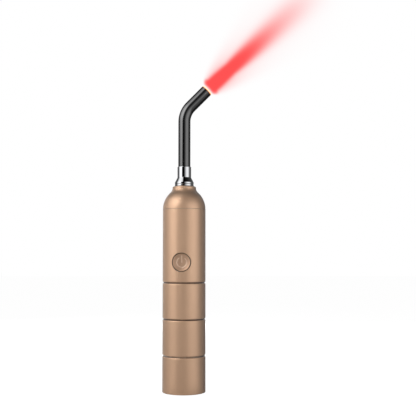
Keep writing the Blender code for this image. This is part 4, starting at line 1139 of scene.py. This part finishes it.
def world():
    """White behind the wand, and a plain soft light on everything that scatters light."""
    bpy.context.scene.world = bpy.data.worlds.new("studio")
    tree = bare_tree(bpy.context.scene.world)
    soft = tree.add("ShaderNodeBackground", inputs={"Color": tint(1, 1, 1, SOFT_LIGHT)})
    white = tree.add("ShaderNodeBackground", inputs={"Color": tint(1, 1, 1)})
    shader = tree.add("ShaderNodeMixShader", inputs={0: backdrop_rays(tree), 1: soft, 2: white})
    tree.add("ShaderNodeOutputWorld", inputs={"Surface": shader})


def floor():
    """A pale floor that runs into the white background and keeps the wand's shadow."""
    material = bpy.data.materials.new("pale_floor")
    tree = bare_tree(material)
    grain = tree.noise(30.0, 3.0)
    card = tree.add("ShaderNodeBsdfDiffuse", inputs={
        "Color": tree.blend(grain, tint(1, 1, 1, 0.78), tint(1, 1, 1, 0.82))})
    white = tree.add("ShaderNodeEmission", inputs={"Strength": FLOOR_LIFT / FLOOR_SHARE})
    shader = tree.add("ShaderNodeMixShader", inputs={
        0: FLOOR_SHARE * backdrop_rays(tree), 1: card, 2: white})
    tree.add("ShaderNodeOutputMaterial", inputs={"Surface": shader})
    reach = np.array([-FLOOR_REACH, FLOOR_REACH])
    points = joined(reach, reach[:, None], -FLOOR_DROP)
    stage("floor", material, "tail", [open_grid(points)])


def reflected_level(azimuth, elevation):
    """How bright the studio looks in the metal, by azimuth and elevation in degrees.

    The left, top, right and rear lights are each a level around the wand times a level up
    and down, added to the dim rest of the room. The left light spreads out as it rises.
    """
    middle = (LEFT_AROUND[0][0] + LEFT_AROUND[-1][0]) / 2
    spread = 1 + stops(elevation, LEFT_SPREAD)
    level = stops(middle + (azimuth - middle) / spread, LEFT_AROUND) * stops(elevation, LEFT_UP)
    for across, up in OTHER_LIGHTS:
        level = level + stops(azimuth, across) * stops(elevation, up)
    return level


def stops(value, pairs):
    places, levels = np.transpose(pairs)
    return np.interp(value, places, levels)


def glossy_card(name, body, points, levels):
    """A surface of given brightness that only glossy rays see."""
    material = bpy.data.materials.new(name)
    tree = bare_tree(material)
    light = tree.add("ShaderNodeEmission", inputs={"Color": tree.attribute("level", "Color")})
    tree.add("ShaderNodeOutputMaterial", inputs={"Surface": light})
    stage(name, material, body, [points], {"level": [levels]}, [
        "camera", "diffuse", "shadow", "transmission"])


def studio_cards():
    """A shell around the wand and a ring on the floor: the soft lights seen in the metal.

    The shell is a sphere from the floor up, and the ring a flat disc with a hole.
    """
    azimuth = np.arange(-180.0, 180.0, SHELL_STEP)
    across = np.radians(azimuth)
    lowest = -math.degrees(math.asin(SHELL_HEIGHT / SHELL_RADIUS))
    elevation = np.append(np.linspace(lowest, 90.0 - SHELL_STEP, SHELL_ROWS), 90.0)[:, None]
    up = np.radians(elevation)
    out = SHELL_RADIUS * np.cos(up)
    shell = joined(
        out * np.sin(across), -out * np.cos(across), SHELL_HEIGHT + SHELL_RADIUS * np.sin(up))
    glossy_card("light_shell", "handle", shell, reflected_level(azimuth, elevation))

    reach = np.geomspace(RING_INNER, SHELL_RADIUS, RING_ROWS)[:, None]
    ring = joined(reach * np.sin(across), -reach * np.cos(across), RING_LIFT)
    # Dark close to the wand: a painted shadow of the wand on the floor, seen only in the metal
    levels = stops(reach, FLOOR_LEVELS) * reflected_level(azimuth, lowest)
    glossy_card("floor_ring", "tail", ring, levels)


def lamps():
    """Area lamps that face one target from an azimuth and elevation about it."""
    for name, azimuth, elevation, power in LAMPS:
        lamp = bpy.data.lights.new(name, "AREA")
        lamp.shape = "DISK"
        lamp.size = LAMP_SIZE
        lamp.energy = power
        across, up = math.radians(azimuth), math.radians(elevation)
        back = Vector((
            math.sin(across) * math.cos(up), -math.cos(across) * math.cos(up), math.sin(up)))
        obj = placed(name, lamp)
        obj.location = LAMP_TARGET + back * LAMP_DISTANCE
        obj.rotation_euler = back.to_track_quat("Z", "Y").to_euler()
        obj.visible_glossy = False


def bell(off, ahead, width, depth, reach, power):
    """A glow's density: a bell curve of the distance off the axis over its half width.

    Its depth through the middle falls along the beam as one over one plus a power of
    the length over its reach.
    """
    through = depth / (1 + (ahead / reach) ** power)
    return through / width * math.e ** (0.0 - (off / width) ** 2.0)


def beam():
    """Red light in the air past the tip: a soft cone of glow, bright core and faint halo.

    The core has a wide foot and grows again further out, and the halo grows all along.
    Both fade out at the cone's wall and end, and fill in over the first millimetres, a
    little sooner off the axis. The wall fans out quickly from the tip and then opens
    more slowly.
    """
    material = bpy.data.materials.new("red_beam")
    tree = bare_tree(material)
    tip = bent(np.array([0.0, 0.0, GUIDE_END]))
    lean = BEND_ANGLE + BEAM_TILT
    axis = Vector((math.sin(lean), 0.0, math.cos(lean)))
    from_tip = tree.vector_calc("SUBTRACT", tree.place, Vector(tip), output="Vector")
    along = tree.vector_calc("DOT_PRODUCT", from_tip, axis)
    length = tree.vector_calc("LENGTH", from_tip)
    ahead = tree.larger(along, 0.0)
    off = tree.larger(length * length - along * along, 0.0) ** 0.5
    foot = tree.larger(CORE_FOOT - ahead, 0.0) * CORE_FOOT_GROWTH
    core = tree.larger(ahead - CORE_STRAIGHT, 0.0) * CORE_GROWTH + foot + CORE_WIDTH
    halo = ahead * HALO_GROWTH + HALO_WIDTH
    density = bell(off, ahead, core, *CORE_FALL) + bell(off, ahead, halo, *HALO_FALL)
    wall = tree.calc(
        "MINIMUM", ahead * BEAM_FAN + BEAM_MOUTH, ahead * BEAM_OPENING + BEAM_SHOULDER)
    side_fade = tree.share(off / wall, FADE_TO, FADE_FROM)
    end_fade = tree.share(along, BEAM_LENGTH, FADE_FROM * BEAM_LENGTH)
    start = tree.share(along + GLOW_LEAN * off, GLOW_START, GLOW_FULL)
    filled = density / math.sqrt(math.pi) * side_fade * end_fade * start / BEAM_DENSITY
    veil = tree.add("ShaderNodeVolumeAbsorption", inputs={
        "Color": tint(0, 0, 0), "Density": BEAM_DENSITY})
    glow = tree.add("ShaderNodeEmission", inputs={"Color": BEAM_RED, "Strength": BEAM_DENSITY})
    both = tree.add("ShaderNodeAddShader", inputs={0: veil, 1: glow})
    haze = tree.add("ShaderNodeMixShader", inputs={0: filled, 2: both})
    tree.add("ShaderNodeOutputMaterial", inputs={"Volume": haze})
    material.cycles.volume_step_rate = BEAM_STEP_RATE

    fan_end = (BEAM_SHOULDER - BEAM_MOUTH) / (BEAM_FAN - BEAM_OPENING)
    outline = [
        (0.0, 0.0), (BEAM_MOUTH, 0.0), (BEAM_SHOULDER + BEAM_OPENING * fan_end, fan_end),
        (BEAM_SHOULDER + BEAM_OPENING * BEAM_LENGTH, BEAM_LENGTH), (0.0, BEAM_LENGTH)]
    turn = np.array(Matrix.Rotation(lean, 3, "Y"))
    cone = tip + np.array(axis) * RING_GAP + around(outline, sides(BEAM_SIDES)) @ turn.T
    stage("red_beam", material, "light_guide", [cone], hidden_from=["glossy", "diffuse", "shadow"])


def camera():
    """The photograph's camera: in front of the wand, looking slightly up."""
    data = bpy.data.cameras.new("camera")
    data.lens = CAMERA_LENS
    data.clip_start = 0.01
    obj = placed("camera", data)
    obj.location = (0.0, -CAMERA_DISTANCE, CAMERA_HEIGHT)
    obj.rotation_euler = (math.pi / 2 + CAMERA_PITCH, 0.0, -CAMERA_YAW)
    bpy.context.scene.camera = obj


def dress_nodes():
    """Give each node of the frame the finish of its slot in the record."""
    for part in frame["record"]["subparts"]:
        mesh = frame["nodes"][part["node"]].data
        mesh.materials.clear()
        mesh.materials.append(FINISHES[part["material_slot"]])


camera()
dress_nodes()
barrel()
head()
tail_cap()
seals()
power_button()
socket()
sleeve()
guide()
battery()
world()
floor()
studio_cards()
lamps()
beam()
bpy.context.scene.view_settings.view_transform = "Standard"
